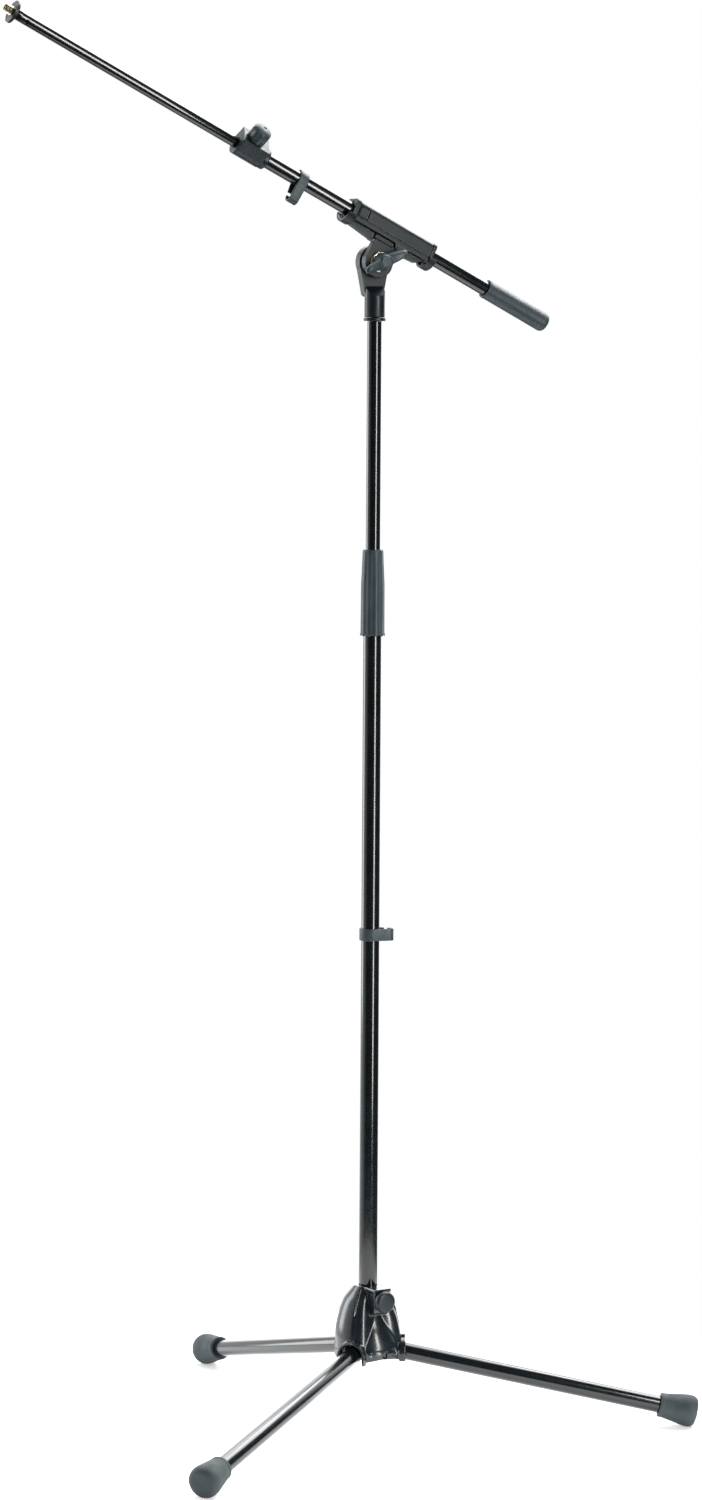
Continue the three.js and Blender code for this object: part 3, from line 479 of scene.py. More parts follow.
FINISHES = {
    "gloss_black_paint": finish(
        "gloss_black_paint", tone(10, 15, 18), tone(15, 22, 26), (0.16, 0.22), 260, 0.012,
        wear=tone(58, 66, 70), dust=0.06, Coat_Weight=0.5, Coat_Roughness=0.1,
    ),
    "black_casting": finish(
        "black_casting", tone(16, 24, 28), tone(24, 33, 38), (0.22, 0.3), 220, 0.02,
        wear=tone(64, 76, 82), dust=0.05, Coat_Weight=0.45, Coat_Roughness=0.12,
    ),
    "grey_plastic": finish(
        "grey_plastic", tone(50, 64, 71), tone(60, 74, 81), (0.42, 0.52), 1500, 0.12,
        wear=tone(98, 112, 118), dust=0.06,
    ),
    "dark_plastic": finish(
        "dark_plastic", tone(15, 27, 32), tone(24, 37, 43), (0.34, 0.44), 1500, 0.1,
        wear=tone(84, 98, 104), dust=0.05, Specular_IOR_Level=0.4,
    ),
    "foot_rubber": finish(
        "foot_rubber", tone(44, 54, 57), tone(56, 66, 69), (0.6, 0.74), 1100, 0.25,
        wear=tone(82, 92, 95), dust=0.1,
    ),
    "nickel": finish(
        "nickel", tone(205, 198, 170), tone(236, 230, 206), (0.2, 0.32), 900, 0.12,
        dust=0.05, Metallic=1.0,
    ),
    "zinc_steel": finish(
        "zinc_steel", tone(128, 134, 140), tone(158, 163, 168), (0.3, 0.42), 800, 0.15,
        dust=0.08, Metallic=1.0,
    ),
}

# ---------------------------------------------------------------- legs
TUBE_WALL = 1.0
FIT = 0.2
SEAT_GAP = 0.3  # between a tube's end and the shoulder that it is pushed against
LEG_R = span("leg_tube_1", LEG[1], 1)[1]
FOOT_R = span("leg_foot_1", LEG[1], 1)[1]


def leg_tube(i):
    start, end = span(f"leg_tube_{i}", LEG[i], 0)
    return moved(tube(LEG_R, LEG_R - TUBE_WALL, start, end), ALONG_X)


def leg_bush(i):
    """A spigot in the tube, and a ball round the pin."""
    shoulder = span(f"leg_tube_{i}", LEG[i], 0)[0] - SEAT_GAP
    end = span(f"leg_bush_{i}", LEG[i], 0)[1]
    inner = LEG_R - TUBE_WALL - FIT
    quarter = arc(0, 0, LEG_R, 180, 90, 16)
    profile = [(0, -LEG_R)] + [(y, x) for x, y in quarter[1:]]
    profile += [(LEG_R, shoulder), (inner, shoulder), (inner, end), (0, end)]
    return moved(lathe(profile, 64), ALONG_X)


def leg_foot(i):
    """A rubber boot, swollen towards its end and worn flat where it meets the floor."""
    mouth, end = span(f"leg_foot_{i}", LEG[i], 0)
    seat_at = span(f"leg_tube_{i}", LEG[i], 0)[1] + SEAT_GAP
    bore = LEG_R + FIT
    lip = LEG_R + 3.5
    side = [
        (bore, mouth + 0.7), (lip - 0.5, mouth), (lip + 0.35, mouth + 1.2),
        (lip + 0.5, mouth + 3.2), (lip + 0.25, mouth + 4.4), (lip + 1.2, mouth + 10),
        (lip + 2.4, mouth + 18), (FOOT_R - 1.2, end - 19), (FOOT_R - 0.2, end - 12),
        (FOOT_R, end - 8), (FOOT_R - 0.8, end - 4), (FOOT_R - 3, end - 1.2),
        (FOOT_R - 6.5, end), (0, end),
    ]
    profile = [(0, seat_at), (bore, seat_at)] + soften(side, 1.6, steps=4)
    bm = moved(lathe(profile, 96), ALONG_X)
    to_local = LEG[i].inverted()
    ground = to_local @ Vector((0, 0, 0))
    upwards = (to_local.to_3x3() @ UP).normalized()
    parts = bm.verts[:] + bm.edges[:] + bm.faces[:]
    cut = bmesh.ops.bisect_plane(
        bm, geom=parts, plane_co=ground, plane_no=upwards, clear_inner=True
    )
    rim = [e for e in cut["geom_cut"] if isinstance(e, bmesh.types.BMEdge)]
    if rim:
        bmesh.ops.holes_fill(bm, edges=rim)
    return bm


def leg_pin(i):
    """A pin with a shallow hollow in each end."""
    half = span(f"leg_pin_{i}", LEG[i], 1)[1]
    r = span(f"leg_pin_{i}", LEG[i], 0)[1]
    side = [
        (0, 1 - half), (r - 1.2, 1 - half), (r - 1.0, -half), (r, -half), (r, half),
        (r - 1.0, half), (r - 1.2, half - 1), (0, half - 1),
    ]
    return moved(lathe(soften(side, 0.25, steps=2), 40), ALONG_Y)


for i in LEGS:
    body = f"leg_{i}"
    piece(f"leg_{i}_tube_skin", leg_tube(i), LEG[i], body, "gloss_black_paint", [f"leg_tube_{i}"])
    piece(f"leg_{i}_bush_skin", leg_bush(i), LEG[i], body, "dark_plastic", [f"leg_bush_{i}"])
    piece(f"leg_{i}_foot_skin", leg_foot(i), LEG[i], body, "foot_rubber", [f"leg_foot_{i}"])
    piece(f"leg_{i}_pin_skin", leg_pin(i), LEG[i], "base", "zinc_steel", [f"leg_pin_{i}"])

# ---------------------------------------------------------------- base casting
CAST_VOXEL = 0.72
BASE_BOTTOM, BASE_TOP = span("base_casting", COLUMN, 2)
UNDER_BASE = BASE_BOTTOM - 6
PIN_R = 3
BASE_SCREW_HOLE_R = 3.4
SKIRT_TOP = PIN_HEIGHT + 3
SKIRT_ARCH = 6
LOWER_R = span("lower_tube", COLUMN, 0)[1]
SLEEVE_R = LOWER_R + 4.2
BELL_R = PIN_REACH + 7.6
HOOD_REACH = PIN_REACH + 9.4
HOOD_HALF = LEG_R + 10
HOOD_POWER = 3  # how square the hood's section is
OUTSIDE_BASE = 2 * HOOD_REACH
MOUTH_HALF = LEG_R + 4.8
BOSS_REACH = SLEEVE_R + 16.1
BOSS_HALF = 10
# Rise from the skirt's top, then the hood's reach, its half width and the bell's radius, each
# as a share of its largest value.
BASE_RINGS = [
    (0, 0.995, 0.99, 1), (0.012, 0.99, 0.985, 0.97), (0.13, 0.97, 0.945, 0.91),
    (0.25, 0.935, 0.89, 0.81), (0.38, 0.885, 0.83, 0.68), (0.53, 0.815, 0.75, 0.55),
    (0.67, 0.705, 0.645, 0.47), (0.82, 0.565, 0.535, 0.42), (1, 0.355, 0.39, 0.39),
]
# The bell's radius in the two bays that have no clamp, on the same rises.
FULL_BELL = (1, 1, 1, 0.99, 0.955, 0.89, 0.81, 0.68, 0.41)
LAST_RISE = 0.9999  # just inside the table's last row


def curve_through(table, share):
    """The row of the table at a rise, on a smooth curve through its rows."""
    last = len(table) - 1
    k = max(j for j in range(last) if table[j][0] <= share)
    rows = [table[max(k - 1, 0)], table[k], table[k + 1], table[min(k + 2, last)]]
    step = rows[2][0] - rows[1][0]
    t = (share - rows[1][0]) / step
    point = []
    for column in (1, 2, 3, 4):
        a, b, c, d = (row[column] for row in rows)
        before = (c - a) / (rows[2][0] - rows[0][0]) * step
        after = (d - b) / (rows[3][0] - rows[1][0]) * step
        point.append(
            (2 * t**3 - 3 * t**2 + 1) * b + (t**3 - 2 * t**2 + t) * before
            + (3 * t**2 - 2 * t**3) * c + (t**3 - t**2) * after
        )
    return point


def in_clamp_bay(turn):
    """Whether an angle is in the third of the casting that the clamp is in the middle of."""
    return abs(math.remainder(turn - KNOB_TURN, 2 * math.pi)) < math.pi / 3


def away_from_leg(turn):
    """How far an angle is from the nearest leg's."""
    gaps = [abs(math.remainder(turn - leg, 2 * math.pi)) for leg in LEG_TURNS]
    return min(gaps)


def skin_radius(turn, shares, proud=0.0):
    """The casting's radius: whichever is widest of a leg's hood, the bell and the sleeve."""
    reach, half, clamp_bell, full_bell = shares
    bell = clamp_bell if in_clamp_bay(turn) else full_bell
    away = away_from_leg(turn)
    along = abs(math.cos(away)) / (reach * HOOD_REACH)
    across = abs(math.sin(away)) / (half * HOOD_HALF)
    hood = (along**HOOD_POWER + across**HOOD_POWER) ** (-1 / HOOD_POWER)
    return max(hood, bell * BELL_R, SLEEVE_R) + proud


def lower_edge(turn):
    """The skirt's lower edge, which arches up between the legs."""
    return BASE_BOTTOM + SKIRT_ARCH * (1 - math.cos(3 * away_from_leg(turn))) / 2


def base_skin():
    """The casting's outside as one solid, with a raised rim round the skirt."""
    sides = 288
    table = [(*row, bell) for row, bell in zip(BASE_RINGS, FULL_BELL)]
    first = table[0][1:]
    rings = []
    for proud, height in ((0.5, lower_edge), (0.6, SKIRT_TOP - 1.4), (0.0, SKIRT_TOP - 0.9)):
        rings.append(round_ring(lambda t, p=proud: skin_radius(t, first, p), height, sides))
    steps = 36
    for k in range(steps + 1):
        rise = k / steps
        shares = curve_through(table, min(rise, LAST_RISE))
        height = SKIRT_TOP + rise * (BASE_TOP - SKIRT_TOP)
        rings.append(round_ring(lambda t, s=shares: skin_radius(t, s), height, sides))
    return loft(rings)


def arch(half, bottom, centre):
    return [(-half, bottom), (half, bottom)] + arc(0, centre, half, 0, 180, 28)


def base_boss():
    """The block that the column clamp's screw goes through, with a plate on top."""
    inside = LOWER_R - 1
    bottom = KNOB_HEIGHT - 16
    side = [
        (inside, BASE_TOP - 1), (BOSS_REACH, BASE_TOP - 1), (BOSS_REACH, bottom + 7),
        (BOSS_REACH - 1.3, bottom + 3.5), (BOSS_REACH - 4.8, bottom + 1.1),
        (BOSS_REACH - 10.3, bottom), (inside, bottom),
    ]
    block = prism(side, -BOSS_HALF, BOSS_HALF, "xz")
    plate_half = BOSS_HALF + 0.7
    plate = box((inside, BOSS_REACH + 0.7), (-plate_half, plate_half), (BASE_TOP - 3, BASE_TOP))
    return [turned(block, KNOB_TURN), turned(plate, KNOB_TURN)]


def sector(inner, outer, centre_turn, half_turn, low, high):
    """A block bounded by two arcs round the column."""
    turns = [centre_turn + half_turn * (k / 8 - 1) for k in range(17)]
    outline = [(outer * math.cos(t), outer * math.sin(t)) for t in turns]
    outline += [(inner * math.cos(t), inner * math.sin(t)) for t in reversed(turns)]
    return prism(outline, low, high, "xy")


def leg_housing(leg):
    """What a leg adds to the casting, its collar and tab, and what it takes out."""
    channel_half = LEG_R + 0.7
    mouth_centre = PIN_HEIGHT - 3
    mouth_start = HOOD_REACH - 4
    collar_reach = HOOD_REACH + 3
    collar_half = MOUTH_HALF + 2.6
    tab_top = mouth_centre + collar_half + 3
    collar_arch = arch(collar_half, BASE_BOTTOM, mouth_centre)
    channel_arch = arch(channel_half, UNDER_BASE, PIN_HEIGHT)
    mouth_arch = arch(MOUTH_HALF, UNDER_BASE - 1, mouth_centre)
    pin_hole = moved(rod(PIN_R + FIT, -BELL_R, BELL_R, 0, 32), ALONG_Y)
    adds = [
        prism(collar_arch, mouth_start, collar_reach, "yz"),
        box((collar_reach - 3.2, collar_reach), (-4.5, 4.5), (mouth_centre, tab_top)),
    ]
    cuts = [
        prism(channel_arch, PIN_REACH - channel_half, OUTSIDE_BASE, "yz"),
        prism(mouth_arch, mouth_start, OUTSIDE_BASE + 1, "yz"),
        shifted(pin_hole, PIN_REACH, 0, PIN_HEIGHT),
    ]
    return [turned(bm, leg) for bm in adds], [turned(bm, leg) for bm in cuts]


def hollow_bay(leg):
    """The hollow under the bell, between this leg and the next."""
    middle_turn = leg + math.pi / 3
    half_turn = math.radians(22)
    return sector(SLEEVE_R + 2.8, BELL_R - 4, middle_turn, half_turn, UNDER_BASE, SKIRT_TOP + 2)


def base_casting():
    """The skin with its boss and housings, bored for the column, the screw and the pins."""
    adds = [base_skin(), *base_boss()]
    cuts = []
    for leg in LEG_TURNS:
        housing, openings = leg_housing(leg)
        adds += housing
        cuts += [*openings, hollow_bay(leg)]
    cuts.append(rod(LOWER_R + FIT, UNDER_BASE - 2, BASE_TOP + 5, 0, 96))
    screw_hole = moved(rod(BASE_SCREW_HOLE_R, 0, OUTSIDE_BASE, 0, 32), ALONG_X)
    cuts.append(turned(shifted(screw_hole, z=KNOB_HEIGHT), KNOB_TURN))
    pocket = box((BELL_R - 2, OUTSIDE_BASE), (-2.4, 2.4), (SKIRT_TOP - 7, SKIRT_TOP - 0.2))
    cuts.append(turned(pocket, KNOB_TURN))
    return combine(adds, cuts, CAST_VOXEL, smooth=3)


piece("base_casting_skin", base_casting(), COLUMN, "base", "black_casting",
      ["base_casting"], CAST_SHARP_ANGLE)


def base_knob():
    """A round knob with a crowned face."""
    start, end = span("base_clamp_knob", KNOB, 0)
    r = span("base_clamp_knob", KNOB, 2)[1]
    side = [
        (0, start), (r - 2.4, start), (r - 0.6, start + 1.6), (r, end - 4.2),
        (r - 1.1, end - 1.6), (r - 3.4, end - 0.5), (0, end),
    ]
    return moved(lathe(soften(side, 1.4, steps=5), 96), ALONG_X)


piece("base_knob_skin", base_knob(), KNOB, "base_knob", "dark_plastic", ["base_clamp_knob"])

# ---------------------------------------------------------------- column
UPPER_R = span("upper_tube", COLUMN, 0)[1]
CLUTCH_LOW, CLUTCH_HIGH = span("clutch_sleeve", COLUMN, 2)
FLUTES = 10


def clutch_sleeve():
    """A tapered grip with soft flutes and a scalloped lower lip."""
    body_r = LOWER_R + 0.9
    skirt = body_r + 2
    top = UPPER_R + 3
    side = [
        (CLUTCH_LOW, skirt - 0.1, 1.0), (CLUTCH_LOW + 0.8, skirt + 0.42, 1.0),
        (CLUTCH_LOW + 1.6, skirt + 0.55, 1.0), (CLUTCH_LOW + 2.8, skirt + 0.4, 1.0),
        (CLUTCH_LOW + 3.6, skirt + 0.05, 1.0), (CLUTCH_LOW + 30, skirt - 0.1, 1.0),
        (CLUTCH_HIGH - 37, skirt - 0.25, 1.0), (CLUTCH_HIGH - 31, skirt - 0.5, 1.0),
        (CLUTCH_HIGH - 26, skirt - 0.8, 1.0), (CLUTCH_HIGH - 8, top + 0.42, 0.7),
        (CLUTCH_HIGH - 3, top + 0.2, 0.4), (CLUTCH_HIGH - 1.6, top + 0.1, 0.2),
        (CLUTCH_HIGH - 0.6, top - 0.2, 0.0), (CLUTCH_HIGH, top - 0.7, 0.0),
    ]
    rings = []
    for k, (height, r, share) in enumerate(side):
        lift = 1.1 if k < 4 else 0.0

        def radius(turn, r=r, share=share):
            return r - 0.3 * share * (1 - math.cos(FLUTES * turn))

        def level(turn, height=height, lift=lift):
            return height + lift * (1 - math.cos(FLUTES * turn)) / 2

        rings.append(round_ring(radius, level, 240))
    inner_tube = UPPER_R + FIT
    collet = UPPER_R + 1.4 + FIT
    for height, r in [
        (CLUTCH_HIGH - 0.3, inner_tube), (CLUTCH_HIGH - 4, inner_tube),
        (CLUTCH_HIGH - 6, collet), (CLUTCH_HIGH - 29, collet),
        (CLUTCH_HIGH - 33, body_r + FIT), (CLUTCH_LOW + 1.5, body_r + FIT),
    ]:
        rings.append(round_ring(r, height, 240))
    return loft(rings, closed=True)


def plain_tube(node, place, r, along=2):
    start, end = span(node, place, along)
    return tube(r, r - TUBE_WALL, start, end, 0.35, 96)


piece("lower_tube_skin", plain_tube("lower_tube", COLUMN, LOWER_R), COLUMN, "column",
      "gloss_black_paint", ["lower_tube"])
piece("upper_tube_skin", plain_tube("upper_tube", COLUMN, UPPER_R), COLUMN, "mast",
      "gloss_black_paint", ["upper_tube"])
piece("clutch_sleeve_skin", clutch_sleeve(), COLUMN, "clutch", "grey_plastic", ["clutch_sleeve"])

CLIP_WALL = 1.8
CLIP_TIP_R = 5.6


def ribbon(path, section):
    """A flat section swept along points in the XY plane, each with its outward direction."""
    rings = []
    for spot, away in path:
        ring = []
        for out, level in section:
            p = spot + away * out
            ring.append((p.x, p.y, level))
        rings.append(ring)
    return loft(rings)


def band_arc(cx, r, start, end, steps):
    """Points of an arc round (cx, 0), with its angles in degrees, and their directions."""
    points = []
    for k in range(steps + 1):
        turn = math.radians(start + (end - start) * k / steps)
        away = Vector((math.cos(turn), math.sin(turn)))
        points.append((Vector((cx, 0)) + away * r, away))
    return points


def cable_clip(tube_r, reach, wide):
    """A split band round a tube, with an open loop beside it for the cable."""
    band_r = tube_r + FIT + CLIP_WALL / 2
    tip_r = CLIP_TIP_R - CLIP_WALL / 2
    tip_at = reach - CLIP_TIP_R
    lean = math.degrees(math.acos((band_r - tip_r) / tip_at))
    upper = Vector((math.cos(math.radians(lean)), math.sin(math.radians(lean))))
    slope = Vector((upper.y, -upper.x))

    def on_upper(x):
        """The point above x on the upper straight side."""
        start = upper * band_r
        return start + slope * ((x - start.x) / slope.x)

    gap_start = tip_at - 5.0
    gap_end = tip_at - 1.0
    path = [(on_upper(gap_start), upper), (on_upper(gap_start - 3), upper)]
    path += band_arc(0, band_r, lean, 360 - lean, 72)
    path += band_arc(tip_at, tip_r, -lean, lean, 28)
    path.append((on_upper(gap_end), upper))
    half = CLIP_WALL / 2
    corners = rectangle(-half, half, -wide / 2, wide / 2)
    return ribbon(path, soften(corners, 0.55, closed=True, steps=3))


def column_clip():
    low, high = span("cable_clip_column", COLUMN, 2)
    bm = cable_clip(LOWER_R, 25, high - low)
    away = middle("cable_clip_column") - FOOT_OF_COLUMN
    turned(bm, math.atan2(away.y, away.x))
    return shifted(bm, z=(low + high) / 2)


piece("cable_clip_column_skin", column_clip(), COLUMN, "column_clip", "grey_plastic",
      ["cable_clip_column"])

# ---------------------------------------------------------------- tilt head
EAR_R = 16.8
EAR_FRONT = 10.3
CHEEK_R = 18.2
CHEEK_BACK = 11.0
CHEEK_FRONT = 0.7
BOLT_R = 4.0
SOCKET_LOW = span("head_socket", HEAD, 2)[0]
SOCKET_R = UPPER_R + 3
SOCKET_TOP = -37
SOCKET_VOXEL = 0.4
STUD_BORE_R = 4.95
BOLT_HEAD_R = 7.8
INSERT_R = 6.1


def head_socket():
    """A socket for the column's stud under a round cheek on the tilt axis."""
    shoulder = SOCKET_TOP + 11
    barrel = rod(SOCKET_R, SOCKET_LOW, shoulder, 0.7, 96)
    wrap = 24
    cheek = arc(0, 0, CHEEK_R, -wrap, 180 + wrap, 72) + [
        (-SOCKET_R, SOCKET_TOP + 2), (3 - SOCKET_R, SOCKET_TOP), (SOCKET_R - 3, SOCKET_TOP),
        (SOCKET_R, SOCKET_TOP + 2),
    ]
    plate = prism(cheek, CHEEK_FRONT, CHEEK_BACK, "xz")
    outside = 2 * SOCKET_R
    ledge = [
        (-outside, SOCKET_TOP - 1), (-SOCKET_R, SOCKET_TOP + 1), (CHEEK_FRONT, shoulder),
        (CHEEK_FRONT, shoulder + 2), (-outside, shoulder + 2),
    ]
    cut = prism(ledge, -outside, outside, "yz")
    bore = rod(STUD_BORE_R, SOCKET_LOW - 1, SOCKET_LOW + 18, 0, 48)
    bolt = moved(rod(BOLT_R + FIT, -outside, outside, 0, 48), ALONG_Y)
    pocket = moved(rod(BOLT_HEAD_R, -CHEEK_BACK - 2, 5 - CHEEK_BACK, 0, 6), ALONG_Y)
    stepped = combine([barrel], [cut], SOCKET_VOXEL, smooth=0)
    return combine([stepped, plate], [bore, bolt, pocket], SOCKET_VOXEL, smooth=4)


piece("head_socket_skin", head_socket(), HEAD, "mast", "dark_plastic",
      ["head_socket"], CAST_SHARP_ANGLE)


def socket_ring():
    """A rounded ring round the foot of the socket."""
    low, high = span("socket_ring", COLUMN, 2)
    corners = rectangle(STUD_BORE_R, SOCKET_R + 0.9, low, high)
    return lathe(soften(corners, 1.0, closed=True, steps=5), 96)


piece("socket_ring_skin", socket_ring(), COLUMN, "mast", "dark_plastic", ["socket_ring"])


def friction_disc():
    return moved(tube(EAR_R - 0.6, BOLT_R + FIT, -0.4, 0.4, 0.15, 96), ALONG_Y)


piece("friction_disc_skin", friction_disc(), HEAD, "mast", "dark_plastic", ["friction_disc"])


def tilt_washer():
    """A dished washer on the tilt bolt."""
    back = EAR_FRONT + 0.3
    front = back + 2.4
    inner = BOLT_R + FIT
    side = [
        (inner, back + 1), (8.5, back + 1), (9.6, back), (11, back), (11, back + 0.9),
        (9.9, front - 0.35), (8.6, front), (inner, front),
    ]
    return moved(lathe(soften(side, 0.5, closed=True, steps=4), 96), ALONG_Y)


piece("tilt_washer_skin", tilt_washer(), HEAD, "washer", "nickel", ["tilt_washer"])

FINE_VOXEL = 0.36
HUB_BACK = 13.3
HUB_FRONT = 28.0
WING_SPAN = 54.0
WING_RISE = math.radians(22)
WING_SQUARENESS = 0.62  # 1 is an ellipse, and 0 is a rectangle


def wing_blade():
    """One leaf of the wing nut, thick at the hub and thinner towards its rounded tip."""
    tip = WING_SPAN / 2
    # Reach, the section's back and front in front of the hub's back, and half its height.
    stations = [
        (0, 1.5, 12.0, 6.4), (4, 1.6, 13.0, 6.2), (8, 2.3, 14.2, 5.8), (12, 3.2, 15.4, 5.3),
        (16, 4.4, 16.2, 4.8), (20, 5.9, 16.9, 4.2), (23, 7.6, 16.6, 3.6),
        (25.3, 9.6, 15.4, 2.8), (tip - 0.4, 11.2, 13.9, 1.7),
    ]
    rings = []
    for x, low, high, half in stations:
        centre = (low + high) / 2
        deep = (high - low) / 2
        ring = []
        for k in range(28):
            turn = 2 * math.pi * k / 28
            c, s = math.cos(turn), math.sin(turn)
            wide = deep * math.copysign(abs(c) ** WING_SQUARENESS, c)
            tall = half * math.copysign(abs(s) ** WING_SQUARENESS, s)
            droop = -0.16 * (wide + deep)
            ring.append((x, -(HUB_BACK + centre + wide), tall + droop + 1.5))
        rings.append(ring)
    return loft(rings)


def wing_nut():
    """A tapered hub with two leaves, and a pocket for the metal insert behind."""
    side = [
        (0, HUB_BACK), (8.8, HUB_BACK), (9.4, HUB_BACK + 1), (7.6, HUB_FRONT - 3),
        (6, HUB_FRONT), (0, HUB_FRONT),
    ]
    hub = moved(lathe(soften(side, 0.8, steps=3), 72), ALONG_Y)
    one = wing_blade()
    other = turned(wing_blade(), math.pi, "Y")
    pocket = moved(rod(INSERT_R, HUB_BACK - 1, HUB_FRONT - 4.7, 0, 6), ALONG_Y)
    bm = combine([hub, one, other], [pocket], FINE_VOXEL, smooth=4)
    return turned(bm, -WING_RISE, "Y")


piece("wing_nut_skin", wing_nut(), HEAD, "wing", "grey_plastic", ["wing_nut"], CAST_SHARP_ANGLE)

# ---------------------------------------------------------------- boom carrier
BARREL_TIP, BARREL_TAIL = span("barrel_shell", CARRIER, 0)
BOOM_R = span("boom_outer_tube", BOOM, 1)[1]
LINER_R = BOOM_R + 1.6
BARREL_HALF = LINER_R + 2.4
RAIL_TOP = BOOM_RISE - 5
RAIL_BOTTOM = RAIL_TOP - 5
RAIL_HALF = BARREL_HALF + 1
CUP_LENGTH = 4.5
CUP_OVERLAP = 5
CUP_R = BARREL_HALF + 4.5
CUP_WALL = 3.3
BORE_R = LINER_R + 0.3
CARRIER_VOXEL = 0.42


def half_cup(start, end):
    """The lower half of a sleeve round the boom, cut off level with the rail's top."""
    outer = arc(0, BOOM_RISE, CUP_R, 180, 360, 48)
    inner = arc(0, BOOM_RISE, CUP_R - CUP_WALL, 360, 180, 48)
    outline = [(a, min(b, RAIL_TOP)) for a, b in outer + inner]
    return prism(outline, start, end, "yz")


def boom_bore(overrun):
    """What the boom and its liner take out, past both ends of the barrel."""
    bar = rod(BORE_R, BARREL_TIP - overrun, BARREL_TAIL + overrun, 0, 96)
    return shifted(moved(bar, ALONG_X), z=BOOM_RISE)


def boom_carrier():
    """An ear on the tilt axis, a web and a keel under a rail, and a half cup at each end."""
    in_rail = RAIL_BOTTOM + 1
    web_bottom = CHEEK_R + 0.8
    web_foot = web_bottom + 1.5
    ear_side = arc(0, 0, EAR_R, 186, 354, 64) + [(14, in_rail), (-14, in_rail)]
    keel_side = [
        (BARREL_TIP + 3, in_rail), (BARREL_TIP + 4, 22), (-18, web_bottom),
        (18, web_bottom), (BARREL_TAIL - 12, 21), (BARREL_TAIL - 4, in_rail),
    ]
    gusset_side = [(6, in_rail), (10, web_foot), (15, web_foot), (31, in_rail)]
    adds = [
        prism(ear_side, -EAR_FRONT, -CHEEK_FRONT, "xz"),
        box((-16, 14), (-9.6, 9), (web_bottom, in_rail)),
        prism(keel_side, -6, 6, "xz"),
        box((BARREL_TIP, BARREL_TAIL), (-RAIL_HALF, RAIL_HALF), (RAIL_BOTTOM, RAIL_TOP)),
        prism(gusset_side, -RAIL_HALF + 0.4, RAIL_HALF - 0.4, "xz"),
        half_cup(BARREL_TIP - CUP_LENGTH, BARREL_TIP + CUP_OVERLAP),
        half_cup(BARREL_TAIL - CUP_OVERLAP, BARREL_TAIL + CUP_LENGTH),
    ]
    recess_side = soften(rectangle(-17, 8, web_foot, RAIL_BOTTOM - 0.4), 2.0, closed=True)
    cuts = [
        boom_bore(10),
        moved(rod(BOLT_R + FIT, -EAR_R, EAR_R, 0, 48), ALONG_Y),
        prism(recess_side, -EAR_FRONT - 2, -EAR_FRONT + 1.6, "xz"),
    ]
    return combine(adds, cuts, CARRIER_VOXEL, smooth=3)


piece("boom_carrier_skin", boom_carrier(), CARRIER, "carrier", "dark_plastic",
      ["boom_carrier"], CAST_SHARP_ANGLE)


def barrel_shell():
    """The cover over the boom tube: flat sides, a rounded top and a collar at each end."""
    bottom = RAIL_TOP - BOOM_RISE + 0.3
    top = BARREL_HALF - 0.5

    def along(half, rise, corner, start, end):
        """A length of the cover, from its half width, its rise and its upper corners' size."""
        right = soften([(half, bottom), (half, rise), (0, rise)], corner, steps=8)
        outline = right + [(-a, b) for a, b in reversed(right[:-1])]
        return shifted(prism(outline, start, end, "yz"), z=BOOM_RISE)

    plain = along(BARREL_HALF, top, 6, BARREL_TIP + 1, BARREL_TAIL - 1)
    tip_collar = along(BARREL_HALF + 0.9, top + 0.9, 6.5, BARREL_TIP, BARREL_TIP + 6)
    tail_collar = along(BARREL_HALF + 0.9, top + 0.9, 6.5, BARREL_TAIL - 4.5, BARREL_TAIL)
    open_bottom = box((BARREL_TIP - 6, BARREL_TAIL + 6), (-BORE_R, BORE_R), (0, BOOM_RISE))
    window_side = rectangle(BARREL_TIP + 8, BARREL_TIP + 20, BOOM_RISE - 4, BOOM_RISE + 7)
    window_side = soften(window_side, 2.2, closed=True)
    window = prism(window_side, -20, 1.4 - BARREL_HALF, "xz")
    cuts = [boom_bore(5), open_bottom, window]
    return combine([plain, tip_collar, tail_collar], cuts, CARRIER_VOXEL, smooth=3)


piece("barrel_shell_skin", barrel_shell(), CARRIER, "carrier", "dark_plastic",
      ["barrel_shell"], CAST_SHARP_ANGLE)

# ---------------------------------------------------------------- boom


def along_boom(node, r, bore, edge=0.35):
    start, end = span(node, BOOM, 0)
    return moved(tube(r, bore, start, end, edge, 96), ALONG_X)


piece("boom_liner_skin", along_boom("boom_liner", LINER_R, BOOM_R + FIT), BOOM, "liner",
      "dark_plastic", ["boom_liner"])
piece("boom_outer_tube_skin", along_boom("boom_outer_tube", BOOM_R, BOOM_R - TUBE_WALL), BOOM,
      "boom", "gloss_black_paint", ["boom_outer_tube"])


def boom_grip():
    """A plastic sleeve closed over the boom's tail."""
    mouth, end = span("boom_grip", BOOM, 0)
    bore = BOOM_R + FIT
    r = span("boom_grip", BOOM, 1)[1]
    inside = span("boom_outer_tube", BOOM, 0)[1] + SEAT_GAP
    side = [
        (bore, mouth + 0.5), (bore + 0.7, mouth), (r - 0.3, mouth), (r, mouth + 1.2),
        (r, mouth + 2.6), (r - 0.25, mouth + 3.2), (r - 0.1, end - 8), (r, end - 7),
        (r - 0.2, end - 3.6), (r - 1.4, end - 1.3), (r - 4.2, end), (0, end),
    ]
    profile = [(0, inside), (bore, inside)] + soften(side, 0.6, steps=4)
    return moved(lathe(profile, 96), ALONG_X)


piece("boom_grip_skin", boom_grip(), BOOM, "boom", "grey_plastic", ["boom_grip"])

BLOCK_TIP, BLOCK_COLLAR = span("tele_clamp_block", TELE, 0)
BLOCK_LONG = 33.0
TELE_SCREW_R = 3
BLOCK_R = BOOM_R + 4
BLOCK_TOP = BLOCK_R + 3
ROD_R = span("boom_inner_tube", BOOM, 1)[1]


